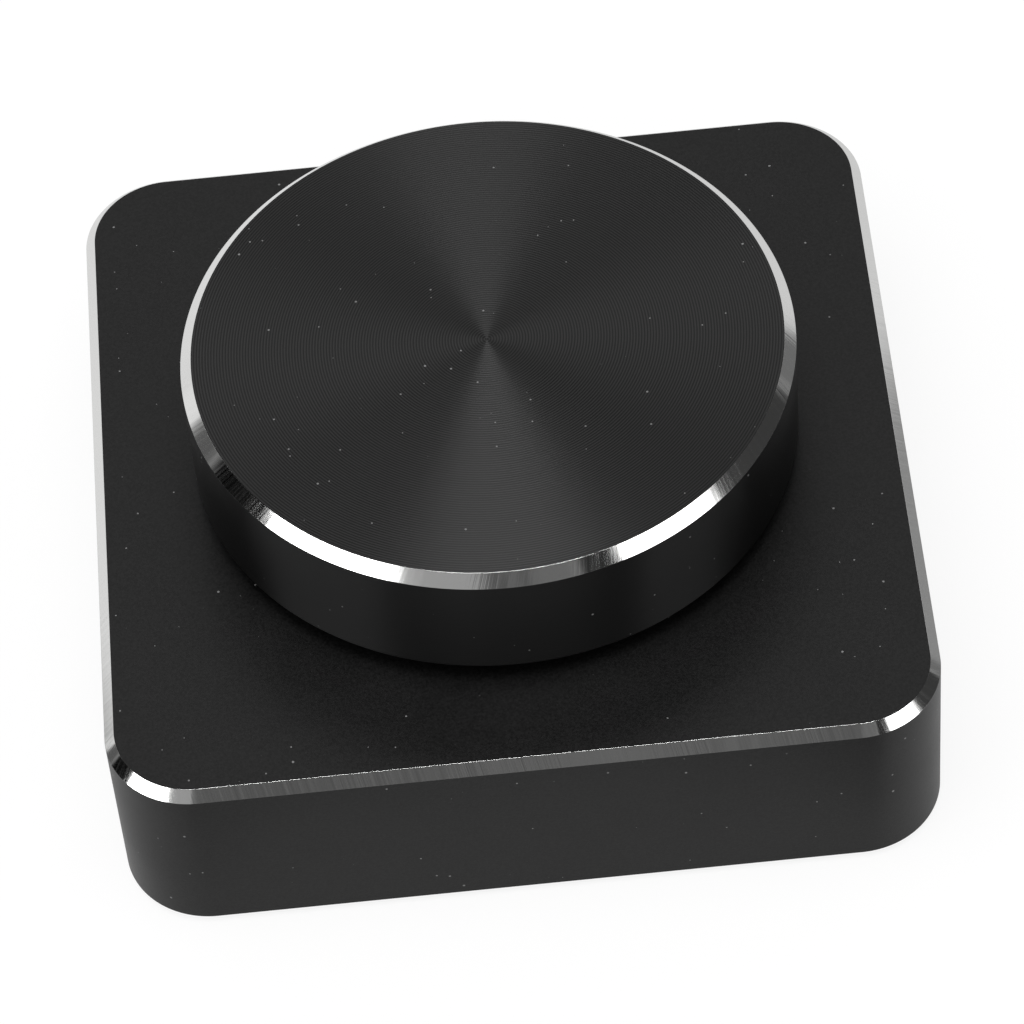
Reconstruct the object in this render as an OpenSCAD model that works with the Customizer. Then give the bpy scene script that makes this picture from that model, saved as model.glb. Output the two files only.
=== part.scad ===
// Desktop volume dial: a square metal base, a wide turning knob that is pressed to mute,
// and the rotary encoder with its push switch on a small circuit board inside.
// Millimetres. +Z is up, -Y is the front, the socket is at the rear, and the origin is
// at the centre of the foot pad's lower face.

/* [Base] */
// Width and depth of the square base
base_w = 65; // [60:0.5:80]
// Height of the housing from its lower rim to its top face
base_h = 16; // [14.4:0.1:24]
// Radius of the base's upright corners
corner_r = 7; // [5:0.1:12]
// Width of the bright 45 degree chamfer round the base's top
base_chamfer = 0.8; // [0.3:0.05:1.5]
// Thickness of the housing's side walls
wall_t = 2.5; // [2:0.1:3.5]
// Thickness of the housing's top wall
roof_t = 2.5; // [2:0.1:2.9]

/* [Knob] */
// Outer diameter of the knob
knob_d = 48.5; // [40:0.5:60]
// Height of the knob from its lower edge to its top face
knob_h = 10.6; // [10:0.1:14]
// Gap between the housing's top face and the knob's lower edge
knob_gap = 1.8; // [1:0.1:3]
// Width of the bright 45 degree chamfer round the knob's top
knob_chamfer = 0.9; // [0.3:0.05:1.5]
// Thickness of the knob's side wall
knob_wall_t = 3.2; // [2:0.1:5]
// Thickness of the knob's top wall
knob_top_t = 2.4; // [1.8:0.1:3]
// How far the knob moves down when it is pressed
press_travel = 0.5; // [0.3:0.05:0.6]

/* [Knob core] */
// Thickness of the core's web under the knob's top wall
core_web_t = 1.8; // [1.2:0.1:2.5]
// Thickness of the core's outer rim
core_rim_t = 1.6; // [1:0.1:2.5]
// Height of the core's outer rim
core_rim_h = 5; // [4:0.1:6.5]
// Outer diameter of the core's hub round the shaft
hub_d = 11; // [9:0.5:14]
// Number of ribs between the hub and the rim
rib_count = 6; // [4:1:8]
// Thickness of a rib
rib_t = 1.2; // [0.8:0.1:2]
// Height of a rib below the web
rib_h = 2.8; // [1.5:0.1:4]
// Radial clearance between the core and the knob shell
core_fit = 0.05; // [0.02:0.01:0.1]
// Clearance between the shaft and the core's bore
shaft_fit = 0.03; // [0.02:0.01:0.06]

/* [Foot and base plate] */
// Thickness of the foot pad
foot_t = 1.5; // [1:0.1:1.7]
// How far the foot pad stands out below the housing's rim
foot_proud = 0.6; // [0.5:0.1:1]
// Gap between the foot pad's edge and the housing's rim
foot_gap = 0.5; // [0.2:0.1:1.5]
// Thickness of the base plate
plate_t = 1.5; // [1.5:0.1:1.8]
// Clearance between the base plate's edge and the housing
plate_clearance = 0.15; // [0.05:0.05:0.3]

/* [Screws] */
// Diameter of the base plate's countersunk screws
plate_screw_d = 2.5; // [2.2:0.1:3]
// Head diameter of the base plate's screws
plate_head_d = 4.7; // [4:0.1:5]
// Length of the base plate's screws with their heads
plate_screw_l = 8; // [6:0.5:9]
// Wall round a base plate screw in its corner boss
boss_wall = 1.9; // [1.5:0.1:2.4]
// Distance from a corner boss's axis to the cavity's corner, along the diagonal
boss_edge = 4; // [3.4:0.1:5]
// Diameter of the circuit board's screws
board_screw_d = 2; // [1.6:0.1:2.4]
// Head diameter of the circuit board's screws
board_head_d = 3.8; // [3.4:0.1:4.4]
// Head height of the circuit board's screws
board_head_h = 1.3; // [0.8:0.1:1.4]
// Length of the circuit board's screws under their heads
board_screw_l = 5; // [4:0.5:6]
// Wall round a board screw in its post
post_wall = 1.7; // [1.2:0.1:2.2]
// Length of each arm pair of a screw's cross recess
recess_l = 2.2; // [1.8:0.1:2.6]
// Width of a recess arm
recess_w = 0.5; // [0.4:0.1:0.7]
// Depth of the recess
recess_h = 0.7; // [0.5:0.1:0.8]
// Radial gap between a screw and its threaded hole
thread_play = 0.03; // [0.02:0.01:0.05]
// Radial gap between a screw and its clearance hole
hole_play = 0.2; // [0.1:0.05:0.3]

/* [Circuit board] */
// Thickness of the circuit board
board_t = 1.6; // [1:0.1:1.6]
// Gap between the board's front edge and the housing's front wall
board_front_gap = 8; // [3:0.5:10]
// Gap between the board's rear edge and the housing's rear wall
board_rear_gap = 0.5; // [0.3:0.1:0.8]
// Gap between the board's sides and the corner bosses
board_side_gap = 0.8; // [0.4:0.1:2]
// Distance from a board screw's axis to the board's edges
board_screw_inset = 3.5; // [2.8:0.1:4.5]
// How far pins and lugs stand out below the board
pin_out = 1.2; // [0.8:0.1:1.3]
// Side clearance of pins and lugs in the board
pin_play = 0.15; // [0.1:0.05:0.3]

/* [Chips] */
// Length of the controller chip
chip_l = 9.9; // [8:0.1:10]
// Width of the controller chip's body
chip_w = 3.9; // [3.8:0.1:4.2]
// Thickness of the controller chip's body
chip_t = 1.5; // [1.2:0.1:1.8]
// Gap under the controller chip
chip_lift = 0.15; // [0.05:0.05:0.25]
// Leads on each long side of the chip
lead_count = 8; // [4:1:8]
// Spacing of the leads
lead_pitch = 1.27; // [1:0.01:1.27]
// Width of a lead
lead_w = 0.4; // [0.3:0.05:0.5]
// Thickness of a lead
lead_t = 0.2; // [0.15:0.05:0.25]
// Reach of a lead beside the body
lead_reach = 1.05; // [0.9:0.05:1.2]
// Distances of the chip's centre from the housing's side wall and from the board's rear edge
chip_at = [19, 15.5]; // [15:0.1:20]
// Length of the crystal's can
crystal_l = 10.8; // [8:0.1:11]
// Width of the crystal's can
crystal_w = 4.4; // [3.5:0.1:4.8]
// Height of the crystal's can
crystal_h = 3.3; // [2.5:0.1:3.6]
// Width of the rim round the crystal's foot
crystal_rim = 0.3; // [0.2:0.05:0.5]
// Thickness of the rim round the crystal's foot
crystal_rim_t = 0.4; // [0.3:0.05:0.6]
// Distances of the crystal's centre from the housing's side wall and from the board's rear edge
crystal_at = [19, 16.5]; // [15:0.1:20]
// Length, width and height of a capacitor
capacitor = [2, 1.25, 0.9]; // [0.5:0.05:3]
// Half the spacing of the chip's capacitors, and their distance behind its centre
chip_capacitor_at = [3, 6]; // [2.5:0.1:7]
// Half the spacing of the crystal's capacitors, and their distance behind its centre
crystal_capacitor_at = [3, 5]; // [2.5:0.1:6]
// Length, width and height of a resistor
resistor = [1.6, 0.8, 0.45]; // [0.3:0.05:2]
// Distances of a line resistor from the socket's side and from the board's rear edge
line_resistor_at = [2.53, 6]; // [2:0.01:7]
// Half the spacing of the pull-up resistors, and their distance from the encoder's terminals
pull_up_at = [3, 3.3]; // [1.5:0.1:5]

/* [Socket] */
// Width of the socket's shell
usb_w = 8.94; // [8.7:0.02:9.2]
// Height of the socket's shell
usb_h = 3.26; // [3.1:0.02:3.5]
// Length of the socket's shell
usb_l = 7.35; // [7:0.05:8]
// Thickness of the socket's shell
usb_shell_t = 0.3; // [0.2:0.05:0.35]
// How far the socket's mouth lies behind the housing's rear face
usb_recess = 0.6; // [0.3:0.1:1]
// Gap between the socket and its slot in the rear wall
usb_slot_gap = 0.3; // [0.15:0.05:0.5]
// Width of the socket's tongue
tongue_w = 6.7; // [6.6:0.05:6.8]
// Thickness of the socket's tongue
tongue_t = 0.7; // [0.6:0.05:0.8]
// Length of the tongue in front of its block
tongue_l = 4.4; // [4.2:0.1:4.5]
// Length of the block that carries the tongue
tongue_block_l = 1.6; // [1.2:0.1:2]
// Contacts on each face of the tongue
contact_count = 12; // [8:1:12]
// Spacing of the contacts
contact_pitch = 0.5; // [0.45:0.01:0.52]
// Width of a contact
contact_w = 0.25; // [0.2:0.01:0.3]
// Thickness of a contact
contact_t = 0.08; // [0.05:0.01:0.1]
// Length of a contact
contact_l = 3.4; // [3:0.1:3.8]
// Width of a shell leg along the socket
leg_w = 1; // [0.8:0.1:1.1]
// Thickness of a shell leg
leg_t = 0.25; // [0.2:0.01:0.28]
// How far the shell legs reach into the board
leg_depth = 1.2; // [0.8:0.1:1.5]
// Distances of the two leg pairs from the socket's back
leg_places = [0.7, 2.6]; // [0.6:0.1:2.8]

/* [Encoder outside] */
// Width of the encoder's case and flange
enc_w = 11.6; // [10.5:0.1:12.4]
// Thickness of the sheet bracket over the encoder
bracket_t = 0.4; // [0.3:0.05:0.5]
// Width of the bracket's side legs
bracket_leg_w = 7; // [5:0.5:9]
// Width of the bracket's lugs
lug_w = 2; // [1.5:0.1:3]
// Thickness of the bushing's square flange
flange_t = 1; // [0.8:0.1:1.2]
// Thread diameter of the bushing
thread_d = 7; // [7:0.1:8]
// Gap between the thread and the hole in the housing
thread_gap = 0.15; // [0.1:0.05:0.3]
// Thickness of the washer under the nut
washer_t = 0.5; // [0.3:0.1:0.8]
// Outer diameter of the washer
washer_d = 12; // [11:0.5:14]
// Thickness of the nut
nut_t = 1.8; // [1.5:0.1:2]
// Width of the nut across its flats
nut_af = 10; // [9.5:0.1:12]
// How far the thread stands out above the nut
thread_over = 0.2; // [0:0.05:0.4]
// Width of a terminal
terminal_w = 0.8; // [0.6:0.05:1]
// Thickness of a terminal
terminal_t = 0.35; // [0.25:0.05:0.4]
// Distance from the case to the middle of its terminals
terminal_reach = 0.9; // [0.7:0.05:1.2]
// Spacing of the three encoder terminals
terminal_pitch = 2.5; // [2:0.05:3]
// Spacing of the two switch terminals
switch_pitch = 5; // [4:0.1:7]

/* [Encoder inside] */
// Diameter of the shaft
shaft_d = 6; // [5.6:0.1:6.1]
// Thickness of the shaft across its flat
shaft_across = 4.5; // [4:0.1:5]
// Radial running clearance of the shaft in the bushing
shaft_play = 0.05; // [0.02:0.01:0.1]
// Diameter of the shaft's lower end
tail_d = 4.4; // [4:0.1:4.6]
// Thickness of the lower end across its two flats
tail_across = 3.4; // [3:0.1:3.8]
// Clearance of the lower end in the rotor
tail_play = 0.05; // [0.02:0.01:0.1]
// Thickness of the clip below the flange
clip_t = 0.4; // [0.3:0.05:0.5]
// Radial width of the clip
clip_w = 1.2; // [0.9:0.05:1.25]
// Depth of the clip's groove in the shaft
clip_groove = 0.5; // [0.3:0.05:0.6]
// Width of the opening that lets the clip onto the shaft
clip_mouth = 4; // [3:0.1:4.2]
// Length of the full diameter below the clip
shaft_land_t = 0.4; // [0.3:0.05:0.5]
// Thickness of the rotor's web
rotor_t = 1.2; // [1:0.1:1.3]
// Width of the rotor's toothed rim
rotor_rim_w = 0.95; // [0.7:0.05:1]
// Detent notches in one turn
detents = 20; // [12:1:24]
// Width of a detent notch
notch_w = 0.7; // [0.4:0.05:0.9]
// Depth of a detent notch
notch_h = 0.3; // [0.15:0.05:0.4]
// Outer diameter of the rotor's journal
journal_d = 6; // [5.5:0.1:6.4]
// Radial running clearance of the journal
journal_play = 0.05; // [0.02:0.01:0.1]
// Gap between the rotor and the case
rotor_gap = 0.6; // [0.5:0.05:0.7]
// Thickness of the code ring under the rotor
code_t = 0.2; // [0.15:0.05:0.25]
// Windows in the code ring
code_windows = 10; // [6:1:12]
// Length of a window along the ring's radius
code_window_l = 0.5; // [0.3:0.05:0.8]
// Thickness of the detent spring
spring_t = 0.2; // [0.15:0.05:0.3]
// Height of the detent spring's bumps
bump_h = 0.3; // [0.2:0.05:0.4]
// Diameter of the detent spring's bumps
bump_d = 0.7; // [0.5:0.05:0.8]
// Side wall of the encoder's case
case_wall_t = 0.3; // [0.25:0.05:0.35]
// Floor of the encoder's case
case_floor_t = 0.8; // [0.6:0.05:0.9]
// Height of the room for the wipers
wiper_room = 0.5; // [0.4:0.05:0.6]
// Width of a wiper
wiper_w = 0.7; // [0.5:0.05:1]
// Thickness of a wiper
wiper_t = 0.12; // [0.08:0.01:0.15]
// Angle between two wipers
wiper_angle = 38; // [25:1:60]

/* [Switch] */
// Diameter of the well that holds the dome
well_d = 5.8; // [5.5:0.1:5.9]
// Thickness of the switch case's floor
switch_floor_t = 0.4; // [0.3:0.05:0.45]
// Diameter of the dome
dome_d = 5.4; // [4.8:0.1:5.4]
// Thickness of the dome's sheet
dome_t = 0.08; // [0.06:0.01:0.1]
// Height that the dome keeps when it is pressed flat
dome_left = 0.1; // [0.1:0.05:0.2]
// Diameter of the plunger
plunger_d = 4.8; // [4:0.1:5]
// Thickness of the plunger
plunger_t = 0.6; // [0.5:0.05:0.7]
// How far the shaft's lower end stands out below the case's floor
tail_out = 0.25; // [0.2:0.05:0.3]

/* [Hidden] */
$fn = 96;
// Finer circles for the dome's shallow arc
dome_fn = 256;

// Overshoot of a cut past the faces that it opens
cut = 1;
// Gaps between moving faces and under free ends
clip_gap = 0.1;
press_gap = 0.05;
detent_gap = 0.1;
wiper_gap = 0.1;
journal_gap = 0.1;
dome_gap = 0.05;
hub_gap = 0.4;
shaft_end_gap = 0.2;
// Least gap between the base plate and what stands out below the circuit board
under_board_gap = 0.3;
// Least gap between the clip and the rotor's rim
clip_room = 0.1;
// Side gap round the encoder where it stands in a pocket of the roof
pocket_gap = 0.3;
// Bevel at the shaft's tip
tip_bevel = 0.4;
// Flats of the nut
nut_sides = 6;

// Housing and base plate
base_top = foot_proud + base_h;
ceiling_z = base_top - roof_t;
cavity_w = base_w - 2 * wall_t;
cavity_r = corner_r - wall_t;
plate_z1 = foot_t + plate_t;
plate_w = cavity_w - 2 * plate_clearance;
foot_w = cavity_w - 2 * foot_gap;
plate_head_h = (plate_head_d - plate_screw_d) / 2;
boss_r = plate_screw_d / 2 + boss_wall;
boss_xy = min(cavity_w / 2 - boss_edge,
              cavity_w / 2 - cavity_r + (cavity_r - boss_edge) / sqrt(2));

// Height of the dome at rest
dome_h = press_travel + dome_left;

// The encoder's mounting face: the ceiling, or in a low base the end of a pocket in the roof,
// so that the encoder and the board stay clear of the base plate
encoder_h = bracket_t + flange_t + clip_gap + clip_t + shaft_land_t + press_travel + press_gap
            + rotor_t + code_t + wiper_room + case_floor_t + tail_out + plunger_t + dome_gap
            + dome_h + switch_floor_t;
mount_z = max(ceiling_z, plate_z1 + under_board_gap + max(pin_out, board_head_h) + board_t + encoder_h);

// Encoder levels, from its mounting face down to the board
bracket_z0 = mount_z - bracket_t;
flange_z0 = bracket_z0 - flange_t;
clip_z0 = flange_z0 - clip_gap - clip_t;
land_z0 = clip_z0 - shaft_land_t;
rotor_z1 = land_z0 - press_travel - press_gap;
rotor_z0 = rotor_z1 - rotor_t;
rim_z1 = flange_z0 - spring_t - bump_h - detent_gap;
code_z0 = rotor_z0 - code_t;
case_floor_z1 = code_z0 - wiper_room;
case_z0 = case_floor_z1 - case_floor_t;
tail_z0 = case_z0 - tail_out;
plunger_z0 = tail_z0 - plunger_t;
well_z0 = plunger_z0 - dome_gap - dome_h;
board_z1 = well_z0 - switch_floor_t;
board_z0 = board_z1 - board_t;

// Encoder radii, from the case inwards
case_bore_r = enc_w / 2 - case_wall_t;
rotor_r = case_bore_r - rotor_gap;
groove_r = shaft_d / 2 - clip_groove;
clip_r = groove_r + clip_w;
rim_r0 = max(rotor_r - rotor_rim_w, clip_r + clip_room);
rim_mid_r = (rim_r0 + rotor_r) / 2;

// Knob levels
bushing_z1 = base_top + washer_t + nut_t + thread_over;
knob_z0 = base_top + knob_gap;
knob_z1 = knob_z0 + knob_h;
knob_roof_z = knob_z1 - knob_top_t;
knob_cavity_r = knob_d / 2 - knob_wall_t;
hub_z0 = bushing_z1 + press_travel + hub_gap;
shaft_z1 = knob_roof_z - shaft_end_gap;

// Circuit board outline and its screws
board_w = 2 * (boss_xy - boss_r - board_side_gap);
board_y0 = board_front_gap - cavity_w / 2;
board_y1 = cavity_w / 2 - board_rear_gap;
board_corner_r = 1.5;
board_screw_places = [for (sx = [-1, 1], y = [board_y0 + board_screw_inset, board_y1 - board_screw_inset])
                      [sx * (board_w / 2 - board_screw_inset), y]];
corner_places = [for (sx = [-1, 1], sy = [-1, 1]) [sx, sy]];

// Terminals of the encoder and of its switch
terminal_y = enc_w / 2 + terminal_reach;
terminal_hole_r = norm([terminal_w, terminal_t]) / 2 + pin_play;
terminal_xs = [-terminal_pitch, 0, terminal_pitch];
switch_xs = [-switch_pitch / 2, switch_pitch / 2];

// Socket
usb_y1 = base_w / 2 - usb_recess;
usb_y0 = usb_y1 - usb_l;
usb_z = board_z1 + usb_h / 2;
usb_r = usb_h / 2;
tongue_fit = 0.03;
leg_inset = 0.02;
leg_x = usb_w / 2 - leg_inset - leg_t / 2;

// Places of the small parts on the board
chip_place = [chip_at[0] - cavity_w / 2, board_y1 - chip_at[1]];
crystal_place = [cavity_w / 2 - crystal_at[0], board_y1 - crystal_at[1]];
capacitor_places = [for (sx = [-1, 1])
                    each [chip_place + [sx * chip_capacitor_at[0], chip_capacitor_at[1]],
                          crystal_place + [sx * crystal_capacitor_at[0], crystal_capacitor_at[1]]]];
resistor_places = [for (sx = [-1, 1])
                   each [[sx * (usb_w / 2 + line_resistor_at[0]), board_y1 - line_resistor_at[1]],
                         [sx * pull_up_at[0], -terminal_y - pull_up_at[1]]]];

// A rectangle with round corners, centred
module round_rect(w, d, r) {
    square([w - 2 * r, d], center = true);
    square([w, d - 2 * r], center = true);
    for (s = corner_places) {
        translate([s[0] * (w / 2 - r), s[1] * (d / 2 - r)])
            circle(r);
    }
}

// A slot outline with full round ends, centred
module stadium(w, h) {
    square([w - h, h], center = true);
    for (sx = [-1, 1]) {
        translate([sx * (w - h) / 2, 0])
            circle(h / 2);
    }
}

// Extrudes an X-Z outline along Y, from y0 to y1
module along_y(y0, y1) {
    translate([0, y1, 0])
        rotate([90, 0, 0])
            linear_extrude(y1 - y0)
                children();
}

// A round-cornered square block with a 45 degree chamfer round its top
module chamfered_block(w, h, r, c) {
    linear_extrude(h - c)
        round_rect(w, w, r);
    translate([0, 0, h - c]) {
        for (s = corner_places) {
            translate([s[0] * (w / 2 - r), s[1] * (w / 2 - r), 0])
                cylinder(h = c, r1 = r, r2 = r - c);
        }
        for (turn = [0, 90]) {
            rotate([0, 0, turn])
                along_y(r - w / 2, w / 2 - r)
                    polygon([[-w / 2, 0], [w / 2, 0], [w / 2 - c, c], [c - w / 2, c]]);
        }
    }
}

// A tube from z0 to z1
module tube(r_out, r_in, z0, z1) {
    translate([0, 0, z0])
        difference() {
            cylinder(h = z1 - z0, r = r_out);
            translate([0, 0, -cut])
                cylinder(h = z1 - z0 + 2 * cut, r = r_in);
        }
}

// A circle cut by one flat, for a shaft and its bore
module d_outline(d, across) {
    intersection() {
        circle(d / 2);
        translate([-d / 2, -d / 2])
            square([across, d]);
    }
}

// A circle cut by two flats
module double_d_outline(d, across) {
    intersection() {
        circle(d / 2);
        square([d, across], center = true);
    }
}

// A cross recess that opens downwards at z = 0
module cross_recess() {
    for (turn = [0, 90]) {
        rotate([0, 0, turn])
            translate([-recess_l / 2, -recess_w / 2, -cut])
                cube([recess_l, recess_w, recess_h + cut]);
    }
}

// The corner boss of the plus X, plus Y corner, as an outline that runs into the walls
module boss_outline() {
    reach = cavity_w / 2 + wall_t / 2 - boss_xy;
    translate([boss_xy, boss_xy]) {
        circle(boss_r);
        translate([-boss_r, 0])
            square([boss_r + reach, reach]);
        translate([0, -boss_r])
            square([reach, boss_r + reach]);
    }
}

module at_corners() {
    for (s = corner_places) {
        mirror([s[0] < 0 ? 1 : 0, 0, 0])
            mirror([0, s[1] < 0 ? 1 : 0, 0])
                children();
    }
}

module housing_cavity() {
    difference() {
        translate([0, 0, foot_proud - cut])
            linear_extrude(ceiling_z - foot_proud + cut)
                round_rect(cavity_w, cavity_w, cavity_r);
        translate([0, 0, plate_z1])
            at_corners()
                linear_extrude(base_h)
                    boss_outline();
        for (p = board_screw_places) {
            translate([p[0], p[1], board_z1])
                cylinder(h = base_h, r = board_screw_d / 2 + post_wall);
        }
    }
}

// The pocket that takes the encoder's top in a low base
module encoder_pocket() {
    translate([0, 0, ceiling_z - cut])
        linear_extrude(mount_z - ceiling_z + cut)
            square([enc_w + 2 * bracket_t + 2 * pocket_gap, enc_w + 2 * pocket_gap], center = true);
}

module housing() {
    color("#2f2f31")
        difference() {
            translate([0, 0, foot_proud])
                chamfered_block(base_w, base_h, corner_r, base_chamfer);
            housing_cavity();
            if (mount_z > ceiling_z)
                encoder_pocket();
            translate([0, 0, ceiling_z - cut])
                cylinder(h = roof_t + 2 * cut, r = thread_d / 2 + thread_gap);
            along_y(cavity_w / 2 - cut, base_w / 2 + cut)
                translate([0, usb_z])
                    stadium(usb_w + 2 * usb_slot_gap, usb_h + 2 * usb_slot_gap);
            for (s = corner_places) {
                translate([s[0] * boss_xy, s[1] * boss_xy, plate_z1 - cut])
                    cylinder(h = plate_screw_l - plate_t + 2 * cut, r = plate_screw_d / 2 + thread_play);
            }
            for (p = board_screw_places) {
                translate([p[0], p[1], board_z1 - cut])
                    cylinder(h = board_screw_l - board_t + 2 * cut, r = board_screw_d / 2 + thread_play);
            }
        }
}

module base_plate() {
    color("#8f9194")
        difference() {
            translate([0, 0, foot_t])
                linear_extrude(plate_t)
                    round_rect(plate_w, plate_w, cavity_r - plate_clearance);
            for (s = corner_places) {
                translate([s[0] * boss_xy, s[1] * boss_xy, foot_t]) {
                    translate([0, 0, -cut])
                        cylinder(h = plate_t + 2 * cut, r = plate_screw_d / 2 + hole_play);
                    cylinder(h = plate_head_h + hole_play, r1 = plate_head_d / 2 + hole_play,
                             r2 = plate_screw_d / 2);
                }
            }
        }
}

module plate_screws() {
    color("#6d6f72")
        for (s = corner_places) {
            translate([s[0] * boss_xy, s[1] * boss_xy, foot_t])
                difference() {
                    union() {
                        cylinder(h = plate_screw_l, r = plate_screw_d / 2);
                        cylinder(h = plate_head_h, r1 = plate_head_d / 2, r2 = plate_screw_d / 2);
                    }
                    cross_recess();
                }
        }
}

module foot_pad() {
    color("#1c1c1d")
        linear_extrude(foot_t)
            round_rect(foot_w, foot_w, max(cavity_r - foot_gap, cavity_r / 2));
}

module circuit_board() {
    color("#1f5a38")
        difference() {
            translate([0, (board_y0 + board_y1) / 2, board_z0])
                linear_extrude(board_t)
                    round_rect(board_w, board_y1 - board_y0, board_corner_r);
            translate([0, 0, board_z0 - cut])
                linear_extrude(board_t + 2 * cut)
                    board_holes();
        }
}

module board_holes() {
    for (p = board_screw_places) {
        translate(p)
            circle(board_screw_d / 2 + hole_play);
    }
    for (x = terminal_xs) {
        translate([x, -terminal_y])
            circle(terminal_hole_r);
    }
    for (x = switch_xs) {
        translate([x, terminal_y])
            circle(terminal_hole_r);
    }
    for (sx = [-1, 1]) {
        translate([sx * (enc_w + bracket_t) / 2, 0])
            square([bracket_t + 2 * pin_play, lug_w + 2 * pin_play], center = true);
        for (place = leg_places) {
            translate([sx * leg_x, usb_y0 + place])
                square([leg_t + 2 * pin_play, leg_w + 2 * pin_play], center = true);
        }
    }
}

module board_screws() {
    color("#9a9c9f")
        for (p = board_screw_places) {
            translate([p[0], p[1], board_z0])
                difference() {
                    union() {
                        cylinder(h = board_screw_l, r = board_screw_d / 2);
                        translate([0, 0, -board_head_h])
                            cylinder(h = board_head_h, r = board_head_d / 2);
                    }
                    translate([0, 0, -board_head_h])
                        cross_recess();
                }
        }
}

module usb_shell() {
    color("#b9bbbd") {
        along_y(usb_y0, usb_y1)
            translate([0, usb_z])
                difference() {
                    stadium(usb_w, usb_h);
                    stadium(usb_w - 2 * usb_shell_t, usb_h - 2 * usb_shell_t);
                }
        for (sx = [-1, 1], place = leg_places) {
            translate([sx * leg_x, usb_y0 + place, (usb_z + board_z1 - leg_depth) / 2])
                cube([leg_t, leg_w, usb_z - board_z1 + leg_depth], center = true);
        }
    }
}

module usb_tongue() {
    tip_y = usb_y0 + tongue_block_l + tongue_l;
    trim = 2 * (usb_shell_t + tongue_fit);
    color("#18191a") {
        along_y(usb_y0, usb_y0 + tongue_block_l)
            translate([0, usb_z])
                stadium(usb_w - trim, usb_h - trim);
        along_y(usb_y0, tip_y)
            translate([0, usb_z])
                square([tongue_w, tongue_t], center = true);
    }
}

module usb_contacts() {
    start_y = usb_y0 + tongue_block_l;
    color("#c9a24a")
        for (i = [0 : contact_count - 1], side = [-1, 1]) {
            translate([(i - (contact_count - 1) / 2) * contact_pitch,
                       start_y + contact_l / 2,
                       usb_z + side * (tongue_t + contact_t) / 2])
                cube([contact_w, contact_l, contact_t], center = true);
        }
}

module controller_chip() {
    color("#202124")
        translate([chip_place[0] - chip_l / 2, chip_place[1] - chip_w / 2, board_z1 + chip_lift])
            cube([chip_l, chip_w, chip_t]);
}

// A gull-wing lead, seen from its end: out of the body, down, and along the board
module lead_outline() {
    shoulder_z = chip_lift + (chip_t + lead_t) / 2;
    bend_y = lead_reach / 2;
    polygon([[0, shoulder_z], [bend_y, shoulder_z], [bend_y, lead_t], [lead_reach, lead_t],
             [lead_reach, 0], [bend_y - lead_t, 0], [bend_y - lead_t, shoulder_z - lead_t],
             [0, shoulder_z - lead_t]]);
}

module chip_leads() {
    color("#b5b7ba")
        for (turn = [0, 180], i = [0 : lead_count - 1]) {
            translate([chip_place[0], chip_place[1], board_z1])
                rotate([0, 0, turn])
                    translate([(i - (lead_count - 1) / 2) * lead_pitch - lead_w / 2, chip_w / 2, 0])
                        rotate([90, 0, 90])
                            linear_extrude(lead_w)
                                lead_outline();
        }
}

module crystal() {
    color("#c4c6c8")
        translate([crystal_place[0], crystal_place[1], board_z1]) {
            linear_extrude(crystal_h)
                stadium(crystal_l, crystal_w);
            linear_extrude(crystal_rim_t)
                stadium(crystal_l + 2 * crystal_rim, crystal_w + 2 * crystal_rim);
        }
}

// Small blocks of one size on the board
module chip_blocks(places, size) {
    for (p = places) {
        translate([p[0] - size[0] / 2, p[1] - size[1] / 2, board_z1])
            cube(size);
    }
}

module capacitors() {
    color("#b08d62")
        chip_blocks(capacitor_places, capacitor);
}

module resistors() {
    color("#2b2c2f")
        chip_blocks(resistor_places, resistor);
}

module encoder_bracket() {
    color("#aeb0b3")
        difference() {
            union() {
                translate([-enc_w / 2 - bracket_t, -enc_w / 2, bracket_z0])
                    cube([enc_w + 2 * bracket_t, enc_w, bracket_t]);
                for (sx = [-1, 1]) {
                    translate([sx * (enc_w + bracket_t) / 2 - bracket_t / 2, 0, 0]) {
                        translate([0, -bracket_leg_w / 2, board_z1])
                            cube([bracket_t, bracket_leg_w, mount_z - board_z1]);
                        translate([0, -lug_w / 2, board_z0 - pin_out])
                            cube([bracket_t, lug_w, board_t + pin_out + bracket_t]);
                    }
                }
            }
            translate([0, 0, bracket_z0 - cut])
                cylinder(h = bracket_t + 2 * cut, r = thread_d / 2 + thread_play);
        }
}

module encoder_bushing() {
    color("#9fa2a5")
        difference() {
            union() {
                translate([-enc_w / 2, -enc_w / 2, flange_z0])
                    cube([enc_w, enc_w, flange_t]);
                translate([0, 0, flange_z0])
                    cylinder(h = bushing_z1 - flange_z0, r = thread_d / 2);
            }
            translate([0, 0, flange_z0 - cut])
                cylinder(h = bushing_z1 - flange_z0 + 2 * cut, r = shaft_d / 2 + shaft_play);
        }
}

module bushing_washer() {
    color("#c0c2c4")
        tube(washer_d / 2, thread_d / 2 + thread_gap, base_top, base_top + washer_t);
}

module bushing_nut() {
    color("#b3b5b8")
        translate([0, 0, base_top + washer_t])
            difference() {
                cylinder(h = nut_t, r = nut_af / 2 / cos(180 / nut_sides), $fn = nut_sides);
                translate([0, 0, -cut])
                    cylinder(h = nut_t + 2 * cut, r = thread_d / 2 + thread_play);
            }
}

module encoder_case() {
    color("#1a1b1d")
        difference() {
            translate([-enc_w / 2, -enc_w / 2, case_z0])
                cube([enc_w, enc_w, flange_z0 - case_z0]);
            translate([0, 0, case_floor_z1])
                cylinder(h = flange_z0 - case_floor_z1 + cut, r = case_bore_r);
            translate([0, 0, case_z0 - cut])
                cylinder(h = case_floor_t + 2 * cut, r = journal_d / 2 + journal_play);
        }
}

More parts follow.
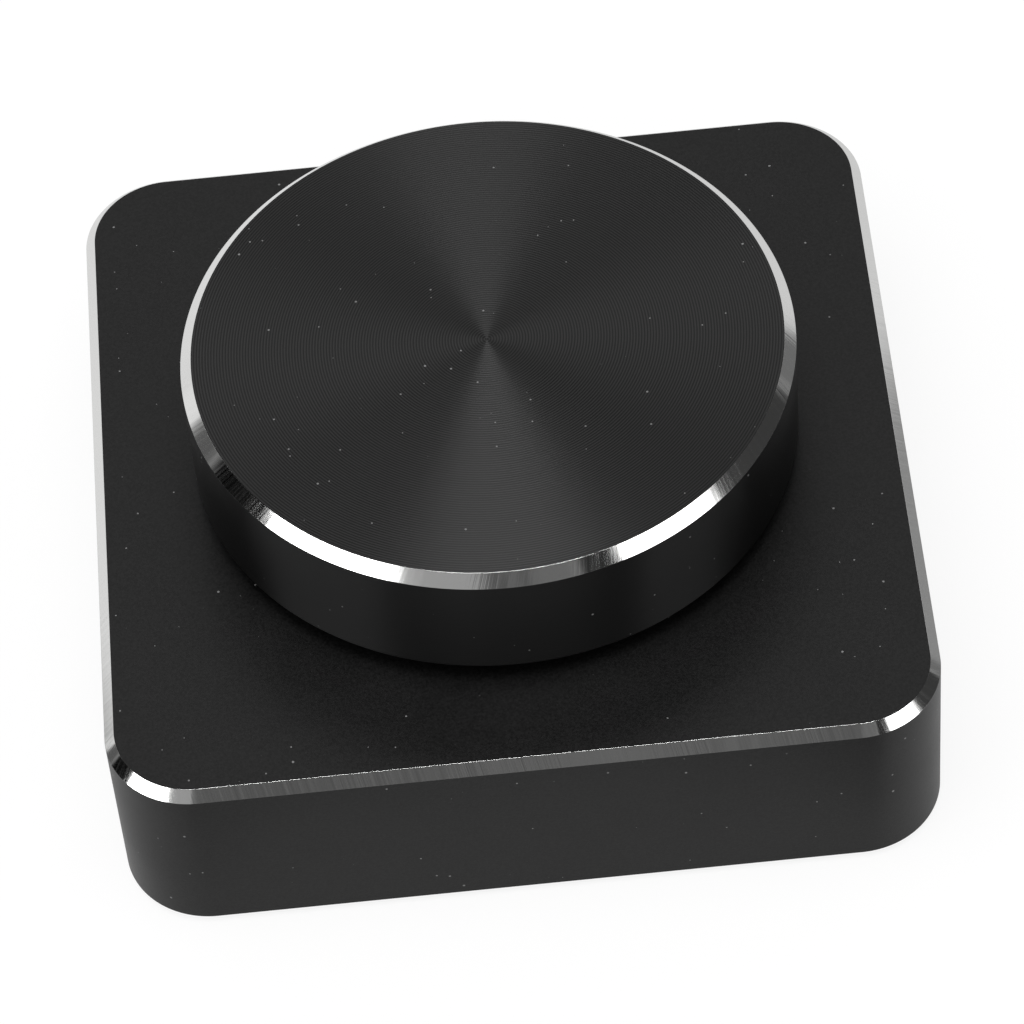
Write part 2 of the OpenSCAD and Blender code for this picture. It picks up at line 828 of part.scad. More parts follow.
// L-shaped terminals that leave a case's front face at height z and go down through the board
module terminals(xs, z) {
    drop_z = board_z0 - pin_out;
    for (x = xs) {
        translate([x - terminal_w / 2, -terminal_y - terminal_t / 2, 0]) {
            translate([0, 0, z])
                cube([terminal_w, terminal_reach + terminal_t / 2, terminal_t]);
            translate([0, 0, drop_z])
                cube([terminal_w, terminal_t, z + terminal_t - drop_z]);
        }
    }
}

module encoder_terminals() {
    color("#c8cacc")
        terminals(terminal_xs, case_z0 + (case_floor_t - terminal_t) / 2);
}

module switch_terminals() {
    color("#c8cacc")
        rotate([0, 0, 180])
            terminals(switch_xs, well_z0);
}

// A bent leaf seen from its side: flat foot, slope, and a raised tip under the code ring
module wiper_outline() {
    tip_z = wiper_room - wiper_gap;
    foot_x = case_bore_r - detent_gap;
    bend_x = foot_x - wiper_w;
    tip_x = journal_d / 2 + wiper_w;
    polygon([[foot_x, 0], [foot_x, wiper_t], [bend_x, wiper_t], [tip_x + wiper_t, tip_z],
             [tip_x - wiper_t, tip_z], [tip_x - wiper_t, tip_z - wiper_t], [tip_x, tip_z - wiper_t],
             [bend_x - wiper_t, 0]]);
}

module wiper_contacts() {
    color("#d0a85a")
        for (turn = [-wiper_angle, 0, wiper_angle]) {
            rotate([0, 0, turn - 90])
                translate([0, wiper_w / 2, case_floor_z1])
                    rotate([90, 0, 0])
                        linear_extrude(wiper_w)
                            wiper_outline();
        }
}

module detent_spring() {
    spring_r1 = case_bore_r - detent_gap;
    color("#b7b2a4") {
        tube(spring_r1, rim_r0, flange_z0 - spring_t, flange_z0);
        for (sx = [-1, 1]) {
            translate([sx * rim_mid_r, 0, flange_z0 - spring_t - bump_h])
                cylinder(h = bump_h + spring_t / 2, r = bump_d / 2);
        }
    }
}

module switch_case() {
    color("#e6e4dc")
        difference() {
            translate([-enc_w / 2, -enc_w / 2, board_z1])
                cube([enc_w, enc_w, case_z0 - board_z1]);
            translate([0, 0, well_z0])
                cylinder(h = case_z0 - well_z0 + cut, r = well_d / 2);
        }
}

// A shallow sprung cap, cut from two spheres of one centre
module switch_dome() {
    outer_r = (pow(dome_d / 2, 2) + pow(dome_h, 2)) / (2 * dome_h);
    color("#cfc7b4")
        translate([0, 0, well_z0])
            rotate_extrude()
                intersection() {
                    translate([0, dome_h - outer_r])
                        difference() {
                            circle(outer_r, $fn = dome_fn);
                            circle(outer_r - dome_t, $fn = dome_fn);
                        }
                    square([dome_d / 2, dome_h]);
                }
}

module switch_plunger() {
    color("#efeee9")
        translate([0, 0, plunger_z0])
            cylinder(h = plunger_t, r = plunger_d / 2);
}

module rotor() {
    journal_z0 = case_z0 + journal_gap;
    color("#e9e7e1")
        difference() {
            union() {
                translate([0, 0, rotor_z0])
                    cylinder(h = rotor_t, r = rotor_r);
                translate([0, 0, journal_z0])
                    cylinder(h = rotor_z1 - journal_z0, r = journal_d / 2);
                tube(rotor_r, rim_r0, rotor_z0, rim_z1);
            }
            translate([0, 0, journal_z0 - cut])
                linear_extrude(rotor_z1 - journal_z0 + 2 * cut)
                    double_d_outline(tail_d + 2 * tail_play, tail_across + 2 * tail_play);
            for (i = [0 : detents - 1]) {
                rotate([0, 0, i * 360 / detents])
                    translate([rim_r0 - detent_gap, -notch_w / 2, rim_z1 - notch_h])
                        cube([rotor_r - rim_r0 + 2 * detent_gap, notch_w, notch_h + cut]);
            }
        }
}

module code_ring() {
    ring_r0 = journal_d / 2 + journal_gap;
    ring_r1 = rotor_r - journal_gap;
    window_mid_r = (ring_r0 + ring_r1) / 2;
    window_w = PI * window_mid_r / code_windows;
    color("#c27a4a")
        difference() {
            tube(ring_r1, ring_r0, code_z0, rotor_z0);
            for (i = [0 : code_windows - 1]) {
                rotate([0, 0, i * 360 / code_windows])
                    translate([window_mid_r, 0, (code_z0 + rotor_z0) / 2])
                        cube([code_window_l, window_w, code_t + 2 * cut], center = true);
            }
        }
}

module encoder_shaft() {
    color("#a9abae")
        difference() {
            union() {
                translate([0, 0, land_z0])
                    cylinder(h = shaft_z1 - tip_bevel - land_z0, r = shaft_d / 2);
                translate([0, 0, shaft_z1 - tip_bevel])
                    cylinder(h = tip_bevel, r1 = shaft_d / 2, r2 = shaft_d / 2 - tip_bevel);
                translate([0, 0, tail_z0])
                    linear_extrude(land_z0 - tail_z0 + shaft_land_t / 2)
                        double_d_outline(tail_d, tail_across);
            }
            tube(shaft_d, groove_r, clip_z0, clip_z0 + clip_t);
            translate([shaft_across - shaft_d / 2, -shaft_d, hub_z0 - press_travel / 2])
                cube([shaft_d, 2 * shaft_d, shaft_z1]);
        }
}

// A C-shaped clip that snaps into the shaft's groove
module shaft_clip() {
    color("#7f8184")
        difference() {
            tube(clip_r, groove_r + thread_play, clip_z0, clip_z0 + clip_t);
            translate([0, -clip_mouth / 2, clip_z0 - cut])
                cube([clip_r + cut, clip_mouth, clip_t + 2 * cut]);
        }
}

module knob_core() {
    core_r = knob_cavity_r - core_fit;
    web_z0 = knob_roof_z - core_web_t;
    color("#26272a")
        difference() {
            union() {
                translate([0, 0, web_z0])
                    cylinder(h = core_web_t, r = core_r);
                tube(core_r, core_r - core_rim_t, knob_roof_z - core_rim_h, knob_roof_z);
                translate([0, 0, hub_z0])
                    cylinder(h = knob_roof_z - hub_z0, r = hub_d / 2);
                for (i = [0 : rib_count - 1]) {
                    rotate([0, 0, i * 360 / rib_count])
                        translate([0, -rib_t / 2, web_z0 - rib_h])
                            cube([core_r - core_rim_t / 2, rib_t, rib_h + core_web_t / 2]);
                }
            }
            translate([0, 0, hub_z0 - cut])
                linear_extrude(knob_roof_z - hub_z0 + 2 * cut)
                    d_outline(shaft_d + 2 * shaft_fit, shaft_across + 2 * shaft_fit);
        }
}

module knob_shell() {
    r = knob_d / 2;
    color("#29292b")
        rotate_extrude()
            polygon([[knob_cavity_r, knob_z0], [r, knob_z0], [r, knob_z1 - knob_chamfer],
                     [r - knob_chamfer, knob_z1], [0, knob_z1], [0, knob_roof_z],
                     [knob_cavity_r, knob_roof_z]]);
}

housing();
base_plate();
plate_screws();
foot_pad();
circuit_board();
board_screws();
usb_shell();
usb_tongue();
usb_contacts();
controller_chip();
chip_leads();
crystal();
capacitors();
resistors();
encoder_bracket();
encoder_bushing();
bushing_washer();
bushing_nut();
encoder_case();
encoder_terminals();
wiper_contacts();
detent_spring();
switch_case();
switch_terminals();
switch_dome();
switch_plunger();
rotor();
code_ring();
encoder_shaft();
shaft_clip();
knob_core();
knob_shell();
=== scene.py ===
"""Looks of a desktop volume dial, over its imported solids.

The base housing, the knob shell and the foot pad are made again as fine surfaces with soft
edges. Every other piece keeps its solid and gets its finish here. Sizes in the classes are in
millimetres; points that go into a mesh are in metres. +Z is up, -Y is the front.
"""

import logging
import math
from dataclasses import dataclass
from enum import Enum
from typing import Sequence, Union

import bmesh
import bpy
import numpy as np
from mathutils import Matrix, Vector


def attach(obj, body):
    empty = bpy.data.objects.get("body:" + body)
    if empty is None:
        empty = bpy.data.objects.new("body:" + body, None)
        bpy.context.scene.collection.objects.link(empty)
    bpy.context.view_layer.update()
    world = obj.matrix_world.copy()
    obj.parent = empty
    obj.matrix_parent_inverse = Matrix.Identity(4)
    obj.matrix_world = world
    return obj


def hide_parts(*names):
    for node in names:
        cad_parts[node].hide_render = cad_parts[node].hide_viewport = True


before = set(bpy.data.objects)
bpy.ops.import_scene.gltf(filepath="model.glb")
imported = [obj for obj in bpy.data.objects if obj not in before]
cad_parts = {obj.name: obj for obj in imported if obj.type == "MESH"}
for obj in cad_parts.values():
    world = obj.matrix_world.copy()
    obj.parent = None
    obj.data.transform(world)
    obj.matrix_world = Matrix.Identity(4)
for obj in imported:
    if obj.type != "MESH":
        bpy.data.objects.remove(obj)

LOG = logging.getLogger("dial")
MM = 0.001
Socket = bpy.types.NodeSocket
Value = Union[float, Sequence[float], Socket]
Triple = tuple[float, float, float]
LINT = (0.22, 0.22, 0.22, 1)


# ---------------------------------------------------------------- surfaces


@dataclass
class Surface:
    """A mesh surface held as arrays.

    points is (n, 3) in metres, quads is (m, 4) point indices, uv is (m, 4, 2) per corner in
    metres, and band is (m,), the material slot of each face.
    """

    points: np.ndarray
    quads: np.ndarray
    uv: np.ndarray
    band: np.ndarray

    @staticmethod
    def grid(points: np.ndarray, along: np.ndarray, across: np.ndarray, band: np.ndarray,
             drop: np.ndarray | None = None) -> "Surface":
        """Makes the quads of a grid whose columns close on themselves.

        The cell at row i, column j joins points (i, j), (i, j+1), (i+1, j+1) and (i+1, j), with
        column indices taken modulo the column count.

        Args:
            points: (rows, columns, 3) grid in millimetres.
            along: (columns + 1,) texture length round the columns, in millimetres.
            across: (rows,) texture length down the rows, in millimetres.
            band: (rows - 1,) material slot of each strip of cells.
            drop: (rows - 1, columns) mask of cells to leave out.

        Returns:
            The surface in metres.
        """
        rows, columns = points.shape[:2]
        i, j = np.meshgrid(np.arange(rows - 1), np.arange(columns), indexing="ij")
        right = (j + 1) % columns
        quads = np.stack([i * columns + j, i * columns + right,
                          (i + 1) * columns + right, (i + 1) * columns + j], -1)
        u = np.stack([along[j], along[j + 1], along[j + 1], along[j]], -1)
        v = np.stack([across[i], across[i], across[i + 1], across[i + 1]], -1)
        keep = np.ones(i.shape, bool) if drop is None else ~drop
        bands = np.broadcast_to(band[:, None], i.shape)
        return Surface(points.reshape(-1, 3) * MM, quads[keep],
                       np.stack([u, v], -1)[keep] * MM, bands[keep])

    @staticmethod
    def joined(parts: Sequence["Surface"]) -> "Surface":
        """Joins surfaces and welds points that fall on the same ten-nanometre place.

        Args:
            parts: the surfaces.

        Returns:
            One surface.
        """
        starts = np.cumsum([0] + [len(s.points) for s in parts[:-1]])
        points = np.concatenate([s.points for s in parts])
        quads = np.concatenate([s.quads + k for s, k in zip(parts, starts)])
        _, first, place = np.unique(np.round(points, 8), axis=0, return_index=True,
                                    return_inverse=True)
        return Surface(points[first], place.reshape(-1)[quads],
                       np.concatenate([s.uv for s in parts]),
                       np.concatenate([s.band for s in parts]))

    def to_object(self, name: str, materials: Sequence[bpy.types.Material]) -> bpy.types.Object:
        """Puts the arrays into a smooth mesh with outward faces and one UV map.

        A corner that repeats the one before it is left out, so a cell at a pole becomes a
        triangle.

        Args:
            name: the object's name.
            materials: the material slots that the bands count in.

        Returns:
            The linked object.
        """
        keep = self.quads != np.roll(self.quads, 1, axis=1)
        whole = keep.sum(1) >= 3
        keep, quads, uv = keep[whole], self.quads[whole], self.uv[whole]
        totals = keep.sum(1)
        starts = np.concatenate([[0], np.cumsum(totals)[:-1]])
        mesh = bpy.data.meshes.new(name)
        mesh.vertices.add(len(self.points))
        mesh.vertices.foreach_set("co", self.points.astype(np.float32).ravel())
        mesh.loops.add(int(totals.sum()))
        mesh.loops.foreach_set("vertex_index", quads[keep].astype(np.int32))
        mesh.polygons.add(len(totals))
        mesh.polygons.foreach_set("loop_start", starts.astype(np.int32))
        mesh.polygons.foreach_set("material_index", self.band[whole].astype(np.int32))
        mesh.polygons.foreach_set("use_smooth", np.ones(len(totals), bool))
        layer = mesh.uv_layers.new(name="run")
        layer.data.foreach_set("uv", uv[keep].astype(np.float32).ravel())
        for material in materials:
            mesh.materials.append(material)
        mesh.update(calc_edges=True)
        work = bmesh.new()
        work.from_mesh(mesh)
        bmesh.ops.recalc_face_normals(work, faces=work.faces)
        work.to_mesh(mesh)
        work.free()
        mesh.set_sharp_from_angle(angle=math.radians(35))
        piece = bpy.data.objects.new(name, mesh)
        bpy.context.scene.collection.objects.link(piece)
        return piece


def eased(corners: np.ndarray, softness: np.ndarray, steps: int = 4,
          hold: float = 0.03) -> np.ndarray:
    """Rounds the corners of a closed section line.

    Each corner p becomes the parabola (1-t)^2 a + 2t(1-t) p + t^2 b, where a and b lie the
    corner's softness away on its two sides, with one more point just outside a and b that keeps
    the flat faces flat.

    Args:
        corners: (n, 2) section corners in millimetres.
        softness: (n,) distance that each corner's easing starts before it.
        steps: pieces in each parabola.
        hold: distance of the outer points from the easing.

    Returns:
        (n, steps + 3, 2) points, a row for each corner.
    """
    back = np.roll(corners, 1, axis=0) - corners
    ahead = np.roll(corners, -1, axis=0) - corners
    back /= np.linalg.norm(back, axis=1, keepdims=True)
    ahead /= np.linalg.norm(ahead, axis=1, keepdims=True)
    soft = softness[:, None]
    t = np.linspace(0, 1, steps + 1)[None, :, None]
    a, b = (corners + soft * back)[:, None], (corners + soft * ahead)[:, None]
    arc = (1 - t) ** 2 * a + 2 * t * (1 - t) * corners[:, None] + t ** 2 * b
    first = (corners + (soft + hold) * back)[:, None]
    last = (corners + (soft + hold) * ahead)[:, None]
    return np.concatenate([first, arc, last], axis=1)


def pairs(a: np.ndarray | float, b: np.ndarray | float) -> np.ndarray:
    """(n, 2) points from two coordinates, of which one may be a plain number."""
    return np.stack(np.broadcast_arrays(a, b), -1)


def run_length(path: np.ndarray) -> np.ndarray:
    """Length from a path's start to each of its (n, k) points."""
    return np.concatenate([[0], np.cumsum(np.linalg.norm(np.diff(path, axis=0), axis=1))])


def turned(section: np.ndarray, band: np.ndarray, segments: int,
           centre: tuple[float, float] = (0.0, 0.0)) -> Surface:
    """Turns a section about an upright axis: x = r cos a, y = r sin a, z = z.

    Args:
        section: (n, 2) radius and height in millimetres. The surface closes if the section
            ends where it starts, or starts and ends on the axis.
        band: (n - 1,) material slots of the strips.
        segments: columns in a full turn.
        centre: where the axis stands.

    Returns:
        The surface. Its texture runs round the outermost radius and down the section.
    """
    angle = np.linspace(0, 2 * np.pi, segments + 1)
    ring = pairs(np.cos(angle[:-1]), np.sin(angle[:-1]))
    flat = section[:, None, :1] * ring[None] + np.asarray(centre)
    height = np.broadcast_to(section[:, None, 1:], flat.shape[:2] + (1,))
    return Surface.grid(np.concatenate([flat, height], -1), angle * section[:, 0].max(),
                        run_length(section), band)


def tube(outer: float, inner: float, low: float, high: float,
         centre: tuple[float, float], segments: int = 48) -> Surface:
    """A closed upright tube about centre: a rectangle of radii and heights, turned."""
    section = np.array([[outer, low], [outer, high], [inner, high], [inner, low], [outer, low]])
    return turned(section, np.zeros(4, int), segments, centre)


@dataclass
class RoundSquare:
    """A square outline with round corners, cut into stations that offsets keep in line."""

    width: float
    radius: float
    mark: float = 7.0
    side_steps: int = 6
    mark_steps: int = 28
    corner_steps: int = 40

    def side(self) -> np.ndarray:
        """Stations along one side, from its plus end to just before its minus end.

        Returns:
            (n,) places along the side.
        """
        end = self.width / 2 - self.radius
        spans = ((end, self.mark, self.side_steps), (self.mark, -self.mark, self.mark_steps),
                 (-self.mark, -end, self.side_steps))
        return np.concatenate([np.linspace(a, b, n + 1)[:-1] for a, b, n in spans])

    def stations(self) -> tuple[np.ndarray, np.ndarray]:
        """Points and outward normals round the outline.

        The rear side and the corner after it are worked out once: the side runs along x at
        half the width, and the corner is an arc about its centre. Quarter turns give the rest.

        Returns:
            (n, 2) points and (n, 2) unit normals.
        """
        x = self.side()
        half, end = self.width / 2, self.width / 2 - self.radius
        angle = np.radians(np.linspace(90, 180, self.corner_steps + 1)[:-1])
        out = pairs(np.cos(angle), np.sin(angle))
        points = np.concatenate([pairs(x, half), np.array([-end, end]) + self.radius * out])
        normals = np.concatenate([np.tile([0.0, 1.0], (len(x), 1)), out])
        quarter = np.array([[0.0, 1.0], [-1.0, 0.0]])
        turns = [np.linalg.matrix_power(quarter, k) for k in range(4)]
        return (np.concatenate([points @ m for m in turns]),
                np.concatenate([normals @ m for m in turns]))

    def carried(self, section: np.ndarray, hole: float, keep: float) -> np.ndarray:
        """Carries a section round the outline.

        A section point is an inset from the outline and a height. Up to the inset keep the
        point lies that far inside the outline, along its normal. Past it the outline blends
        evenly into a circle, which it reaches where the inset is half the width less the hole.

        Args:
            section: (m, 2) inset and height.
            hole: radius of the circle.
            keep: inset up to which the outline keeps its shape.

        Returns:
            (m, n, 3) points in millimetres.
        """
        base, normal = self.stations()
        inset = section[:, 0][:, None, None]
        blend = np.clip((inset - keep) / (self.width / 2 - hole - keep), 0, 1)
        square = base[None] - np.minimum(inset, keep) * normal[None]
        circle = hole * base / np.linalg.norm(base, axis=1, keepdims=True)
        flat = (1 - blend) * square + blend * circle[None]
        height = np.broadcast_to(section[:, 1][:, None, None], flat.shape[:2] + (1,))
        return np.concatenate([flat, height], -1)

    def along(self) -> np.ndarray:
        """Length round the outline at each station, and the whole length last."""
        base, _ = self.stations()
        return run_length(np.concatenate([base, base[:1]]))


# ---------------------------------------------------------------- node graphs


class Graph:
    """A shader tree written as nested calls. A constant goes on the socket itself."""

    def __init__(self, tree: bpy.types.NodeTree) -> None:
        """Empties the tree and keeps it."""
        self.tree = tree
        tree.nodes.clear()

    def add(self, kind: str, wires: dict | None = None, **settings: object) -> bpy.types.Node:
        """Adds a node.

        Args:
            kind: the node's type name.
            wires: input name or index to a constant or a socket.
            settings: attributes of the node.

        Returns:
            The node.
        """
        node = self.tree.nodes.new(kind)
        for key, value in settings.items():
            setattr(node, key, value)
        for key, value in (wires or {}).items():
            if isinstance(value, bpy.types.NodeSocket):
                self.tree.links.new(value, node.inputs[key])
            else:
                node.inputs[key].default_value = value
        return node

    def math(self, operation: str, a: Value, b: Value = 0.0, c: Value = 0.0) -> Socket:
        """One Math node's output, for the values that its operation takes."""
        return self.add("ShaderNodeMath", {0: a, 1: b, 2: c}, operation=operation).outputs[0]

    def vector(self, operation: str, a: Value, b: Value = (0, 0, 0)) -> Socket:
        """One Vector Math node.

        Args:
            operation: its operation; SCALE takes a number as b.
            a: first vector.
            b: second vector, or the factor of SCALE.

        Returns:
            Its vector output, or its value output for LENGTH.
        """
        wires = {0: a, "Scale": b} if operation == "SCALE" else {0: a, 1: b}
        node = self.add("ShaderNodeVectorMath", wires, operation=operation)
        return node.outputs["Value" if operation == "LENGTH" else "Vector"]

    def combined(self, x: Value = 0.0, y: Value = 0.0, z: Value = 0.0) -> Socket:
        """A vector from its three parts."""
        return self.add("ShaderNodeCombineXYZ", {0: x, 1: y, 2: z}).outputs[0]

    def mix(self, kind: str, factor: Value, a: Value, b: Value) -> Socket:
        """A value between a, at factor 0, and b, at factor 1; kind is RGBA or FLOAT."""
        return self.add("ShaderNodeMix", {"Factor": factor, "A": a, "B": b},
                        data_type=kind).outputs["Result"]

    def drawn_along(self, direction: Value) -> Socket:
        """A direction on the piece as the shader's tangent, which wants it in the world."""
        return self.add("ShaderNodeVectorTransform", {0: direction}, vector_type="VECTOR",
                        convert_from="OBJECT", convert_to="WORLD").outputs[0]

    def spread(self, value: Value, low: float, high: float, to_low: float = 0.0,
               to_high: float = 1.0) -> Socket:
        """Maps a value smoothly from one span to another and holds it at both ends.

        Args:
            value: what is mapped.
            low: start of the span.
            high: end of the span.
            to_low: result at the start.
            to_high: result at the end.

        Returns:
            The mapped value.
        """
        return self.add("ShaderNodeMapRange", {"Value": value, "From Min": low, "From Max": high,
                                               "To Min": to_low, "To Max": to_high},
                        interpolation_type="SMOOTHSTEP", clamp=True).outputs[0]

    def swung(self, noise: Value, low: float, high: float) -> Socket:
        """Noise, which mostly lies between 0.3 and 0.7, spread from low to high."""
        return self.spread(noise, 0.3, 0.7, low, high)

    def noise(self, vector: Value, scale: float, detail: float = 2.0,
              roughness: float = 0.5) -> Socket:
        """Plain noise, about 0 to 1: scale is cells in one unit and detail is octaves."""
        wires = {"Vector": vector, "Scale": scale, "Detail": detail, "Roughness": roughness}
        return self.add("ShaderNodeTexNoise", wires, noise_dimensions="3D").outputs[0]

    def specks(self, mm: Value, cell: float = 1.0, size: float = 0.11) -> Socket:
        """Sparse dots of lint: 1 inside a small ball about a random point of each cell.

        Args:
            mm: place in millimetres.
            cell: spacing of the random points.
            size: radius of the largest ball.

        Returns:
            A mask from 0 to 1.
        """
        spot = self.add("ShaderNodeTexVoronoi", {"Vector": mm, "Scale": 1.0 / cell},
                        voronoi_dimensions="3D", feature="F1")
        luck, _, _ = self.parts(spot.outputs["Color"])
        reach = self.math("MULTIPLY", self.math("POWER", luck, 3.0), size / cell)
        return self.spread(self.math("SUBTRACT", spot.outputs["Distance"], reach), -0.012,
                           0.004, 1.0, 0.0)

    def dusted(self, mm: Value, tone: float, shade: Value) -> Socket:
        """A near-black dye of mean reflectance tone, times shade, with the lint on it."""
        dye = self.vector("SCALE", (tone, tone, tone), shade)
        return self.mix("RGBA", self.specks(mm), dye, LINT)

    def millimetres(self) -> Socket:
        """Object coordinates in millimetres."""
        place = self.add("ShaderNodeTexCoord").outputs["Object"]
        return self.vector("SCALE", place, 1000.0)

    def parts(self, vector: Value) -> tuple[Socket, Socket, Socket]:
        """The three parts of a vector."""
        node = self.add("ShaderNodeSeparateXYZ", {0: vector})
        return node.outputs[0], node.outputs[1], node.outputs[2]

    def bump(self, height: Value, strength: float, distance: float) -> Socket:
        """A Bump node's normal for a height whose full step is distance metres."""
        return self.add("ShaderNodeBump", {"Height": height, "Strength": strength,
                                           "Distance": distance}).outputs[0]

    def output(self, shader: bpy.types.Node, kind: str = "ShaderNodeOutputMaterial") -> None:
        """Wires a shader to the tree's output, of the kind given."""
        self.tree.links.new(shader.outputs[0], self.add(kind).inputs["Surface"])

    def shader(self, wires: dict) -> None:
        """Wires a Principled shader, with these inputs, to the material's output."""
        self.output(self.add("ShaderNodeBsdfPrincipled", wires))


# ---------------------------------------------------------------- finishes


@dataclass(frozen=True)
class Finish:
    """A named surface finish; each kind writes its own graph."""

    name: str

    def write(self, graph: Graph) -> None:
        """Writes the finish into an empty graph, which is the argument."""
        raise NotImplementedError

    def material(self) -> bpy.types.Material:
        """Finds or makes the finish's material, so that each finish has one.

        Returns:
            The material.
        """
        found = bpy.data.materials.get(self.name)
        if found is not None:
            return found
        made = bpy.data.materials.new(self.name)
        made.use_nodes = True
        self.write(Graph(made.node_tree))
        return made


@dataclass(frozen=True)
class BlastedAnodise(Finish):
    """Black anodised aluminium, bead-blasted to a fine even grain."""

    tone: float = 0.0045
    roughness: float = 0.38
    level: float = 0.27
    grain: float = 9.0

    def write(self, graph: Graph) -> None:
        """Grain is noise in the dye and on the normal, with faint cloudiness in the gloss.

        Args:
            graph: the empty graph.
        """
        mm = graph.millimetres()
        fine = graph.noise(mm, self.grain, 2.0, 0.6)
        cloud = graph.noise(mm, 0.12, 3.0, 0.5)
        rough = graph.math("ADD", graph.swung(cloud, -0.02, 0.02),
                           graph.swung(fine, self.roughness - 0.02, self.roughness + 0.02))
        mottle = graph.swung(graph.noise(mm, 4.5, 3.0, 0.7), 0.25, 1.75)
        graph.shader({"Base Color": graph.dusted(mm, self.tone, mottle),
                      "Roughness": rough, "Specular IOR Level": self.level,
                      "Normal": graph.bump(fine, 0.35, 0.00002)})


@dataclass(frozen=True)
class TurnedFace(Finish):
    """Black anodise over the fine rings that a facing tool leaves."""

    tone: float = 0.0115
    roughness: float = 0.351
    level: float = 0.255
    stretch: float = 0.928
    crown: float = 0.045
    pitch: float = 0.228
    depth: float = 0.004
    ring_sheen_swing: float = 0.92

    def write(self, graph: Graph) -> None:
        """Rings follow the distance from the axis; the gloss is drawn out across them.

        wave = cos(2 pi radius / pitch + a slow drift). The base colour holds a painted sheen of
        the
        rings: tone * (1 + ring_sheen_swing * wave), lighter and darker lines that stand in for the
        light the ring slopes catch. The height is depth * wave with a fine hiss, less crown *
        radius, which leans the whole face slightly outward.

        Args:
            graph: the empty graph.
        """
        mm = graph.millimetres()
        x, y, _ = graph.parts(mm)
        flat = graph.combined(x, y)
        radius = graph.vector("LENGTH", flat)
        line = graph.combined(radius)
        drift = graph.math("MULTIPLY", graph.noise(line, 1.3, 2.0), 1.5)
        wave = graph.math("COSINE", graph.math("MULTIPLY_ADD", radius,
                                               2.0 * math.pi / self.pitch, drift))
        hiss = graph.noise(line, 9.0, 3.0, 0.7)
        rings = graph.math("MULTIPLY_ADD", wave, self.depth,
                           graph.math("MULTIPLY", hiss, 0.0015))
        height = graph.math("MULTIPLY_ADD", radius, -self.crown, rings)
        # Painted sheen: the lighter and darker ring lines in the base colour stand in for light
        # off the ring slopes.
        shade = graph.math("MULTIPLY_ADD", wave, self.ring_sheen_swing, 1.0)
        outward = graph.drawn_along(graph.vector("NORMALIZE", flat))
        graph.shader({"Base Color": graph.dusted(mm, self.tone, shade),
                      "Roughness": self.roughness, "Specular IOR Level": self.level,
                      "Anisotropic": self.stretch, "Tangent": outward,
                      "Normal": graph.bump(height, 1.0, 0.001)})


@dataclass(frozen=True)
class TurnedWall(Finish):
    """Black anodise over the very fine lines of a turned outer wall."""

    tone: float = 0.0045
    roughness: float = 0.34
    level: float = 0.21
    stretch: float = 1.0

    def write(self, graph: Graph) -> None:
        """Lines follow the height; the gloss is drawn out upright, across them.

        Args:
            graph: the empty graph.
        """
        mm = graph.millimetres()
        _, _, z = graph.parts(mm)
        fine = graph.noise(graph.combined(z=z), 11.0, 3.0, 0.7)
        upright = graph.drawn_along((0.0, 0.0, 1.0))
        shade = graph.swung(fine, 0.4, 1.6)
        graph.shader({"Base Color": graph.dusted(mm, self.tone, shade),
                      "Roughness": self.roughness, "Specular IOR Level": self.level,
                      "Anisotropic": self.stretch, "Tangent": upright,
                      "Normal": graph.bump(fine, 0.5, 0.00001)})


@dataclass(frozen=True)
class CutEdge(Finish):
    """Bare bright aluminium of a chamfer cut after the anodising.

    lanes are the two places across the noise where its slow runs are read.
    """

    tone: float = 0.9
    roughness: float = 0.1
    chatter: float = 0.5
    lanes: tuple[float, float] = (7.0, 31.0)

    def write(self, graph: Graph) -> None:
        """Chatter marks lie across the cut and come and go along it, on the piece's own map.

        Args:
            graph: the empty graph.
        """
        place = graph.add("ShaderNodeUVMap", uv_map="run").outputs[0]
        run, rise, _ = graph.parts(graph.vector("SCALE", place, 1000.0))
        slant = graph.math("MULTIPLY_ADD", rise, 0.25, run)
        marks = graph.noise(graph.combined(slant), 2.6, 2.0, 0.65)
        where = graph.noise(graph.combined(run, self.lanes[0]), 0.11, 1.0)
        depth = graph.math("MULTIPLY", marks, graph.spread(where, 0.45, 0.6, 0.15, 1.0))
        wave = graph.noise(graph.combined(run, self.lanes[1]), 0.5, 1.0)
        height = graph.math("MULTIPLY_ADD", wave, 1.5, depth)
        rough = graph.spread(marks, 0.3, 0.75, self.roughness - 0.03, self.roughness + 0.06)
        graph.shader({"Base Color": (self.tone, self.tone, self.tone * 0.99, 1),
                      "Metallic": 1.0, "Roughness": rough,
                      "Normal": graph.bump(height, self.chatter, 0.00002)})


@dataclass(frozen=True)
class PlatedMetal(Finish):
    """Rolled, stamped or machined metal with a plated or bare skin."""

    colour: Triple = (0.55, 0.56, 0.57)
    roughness: float = 0.3
    lines: Triple = (0.6, 9.0, 9.0)

    def write(self, graph: Graph) -> None:
        """Fine drawn lines: noise squeezed by its own factor on each axis.

        Args:
            graph: the empty graph.
        """
        mm = graph.millimetres()
        drawn = graph.noise(graph.vector("MULTIPLY", mm, self.lines), 1.0, 3.0, 0.6)
        cloud = graph.noise(mm, 0.4, 2.0)
        rough = graph.math("ADD", graph.swung(drawn, self.roughness - 0.05,
                                              self.roughness + 0.07),
                           graph.swung(cloud, -0.02, 0.03))
        r, g, b = self.colour
        tint = graph.mix("RGBA", graph.spread(cloud, 0.35, 0.7), (r, g, b, 1),
                         (r * 0.9, g * 0.9, b * 0.89, 1))
        graph.shader({"Base Color": tint, "Metallic": 1.0,
                      "Roughness": rough, "Normal": graph.bump(drawn, 0.25, 0.00001)})


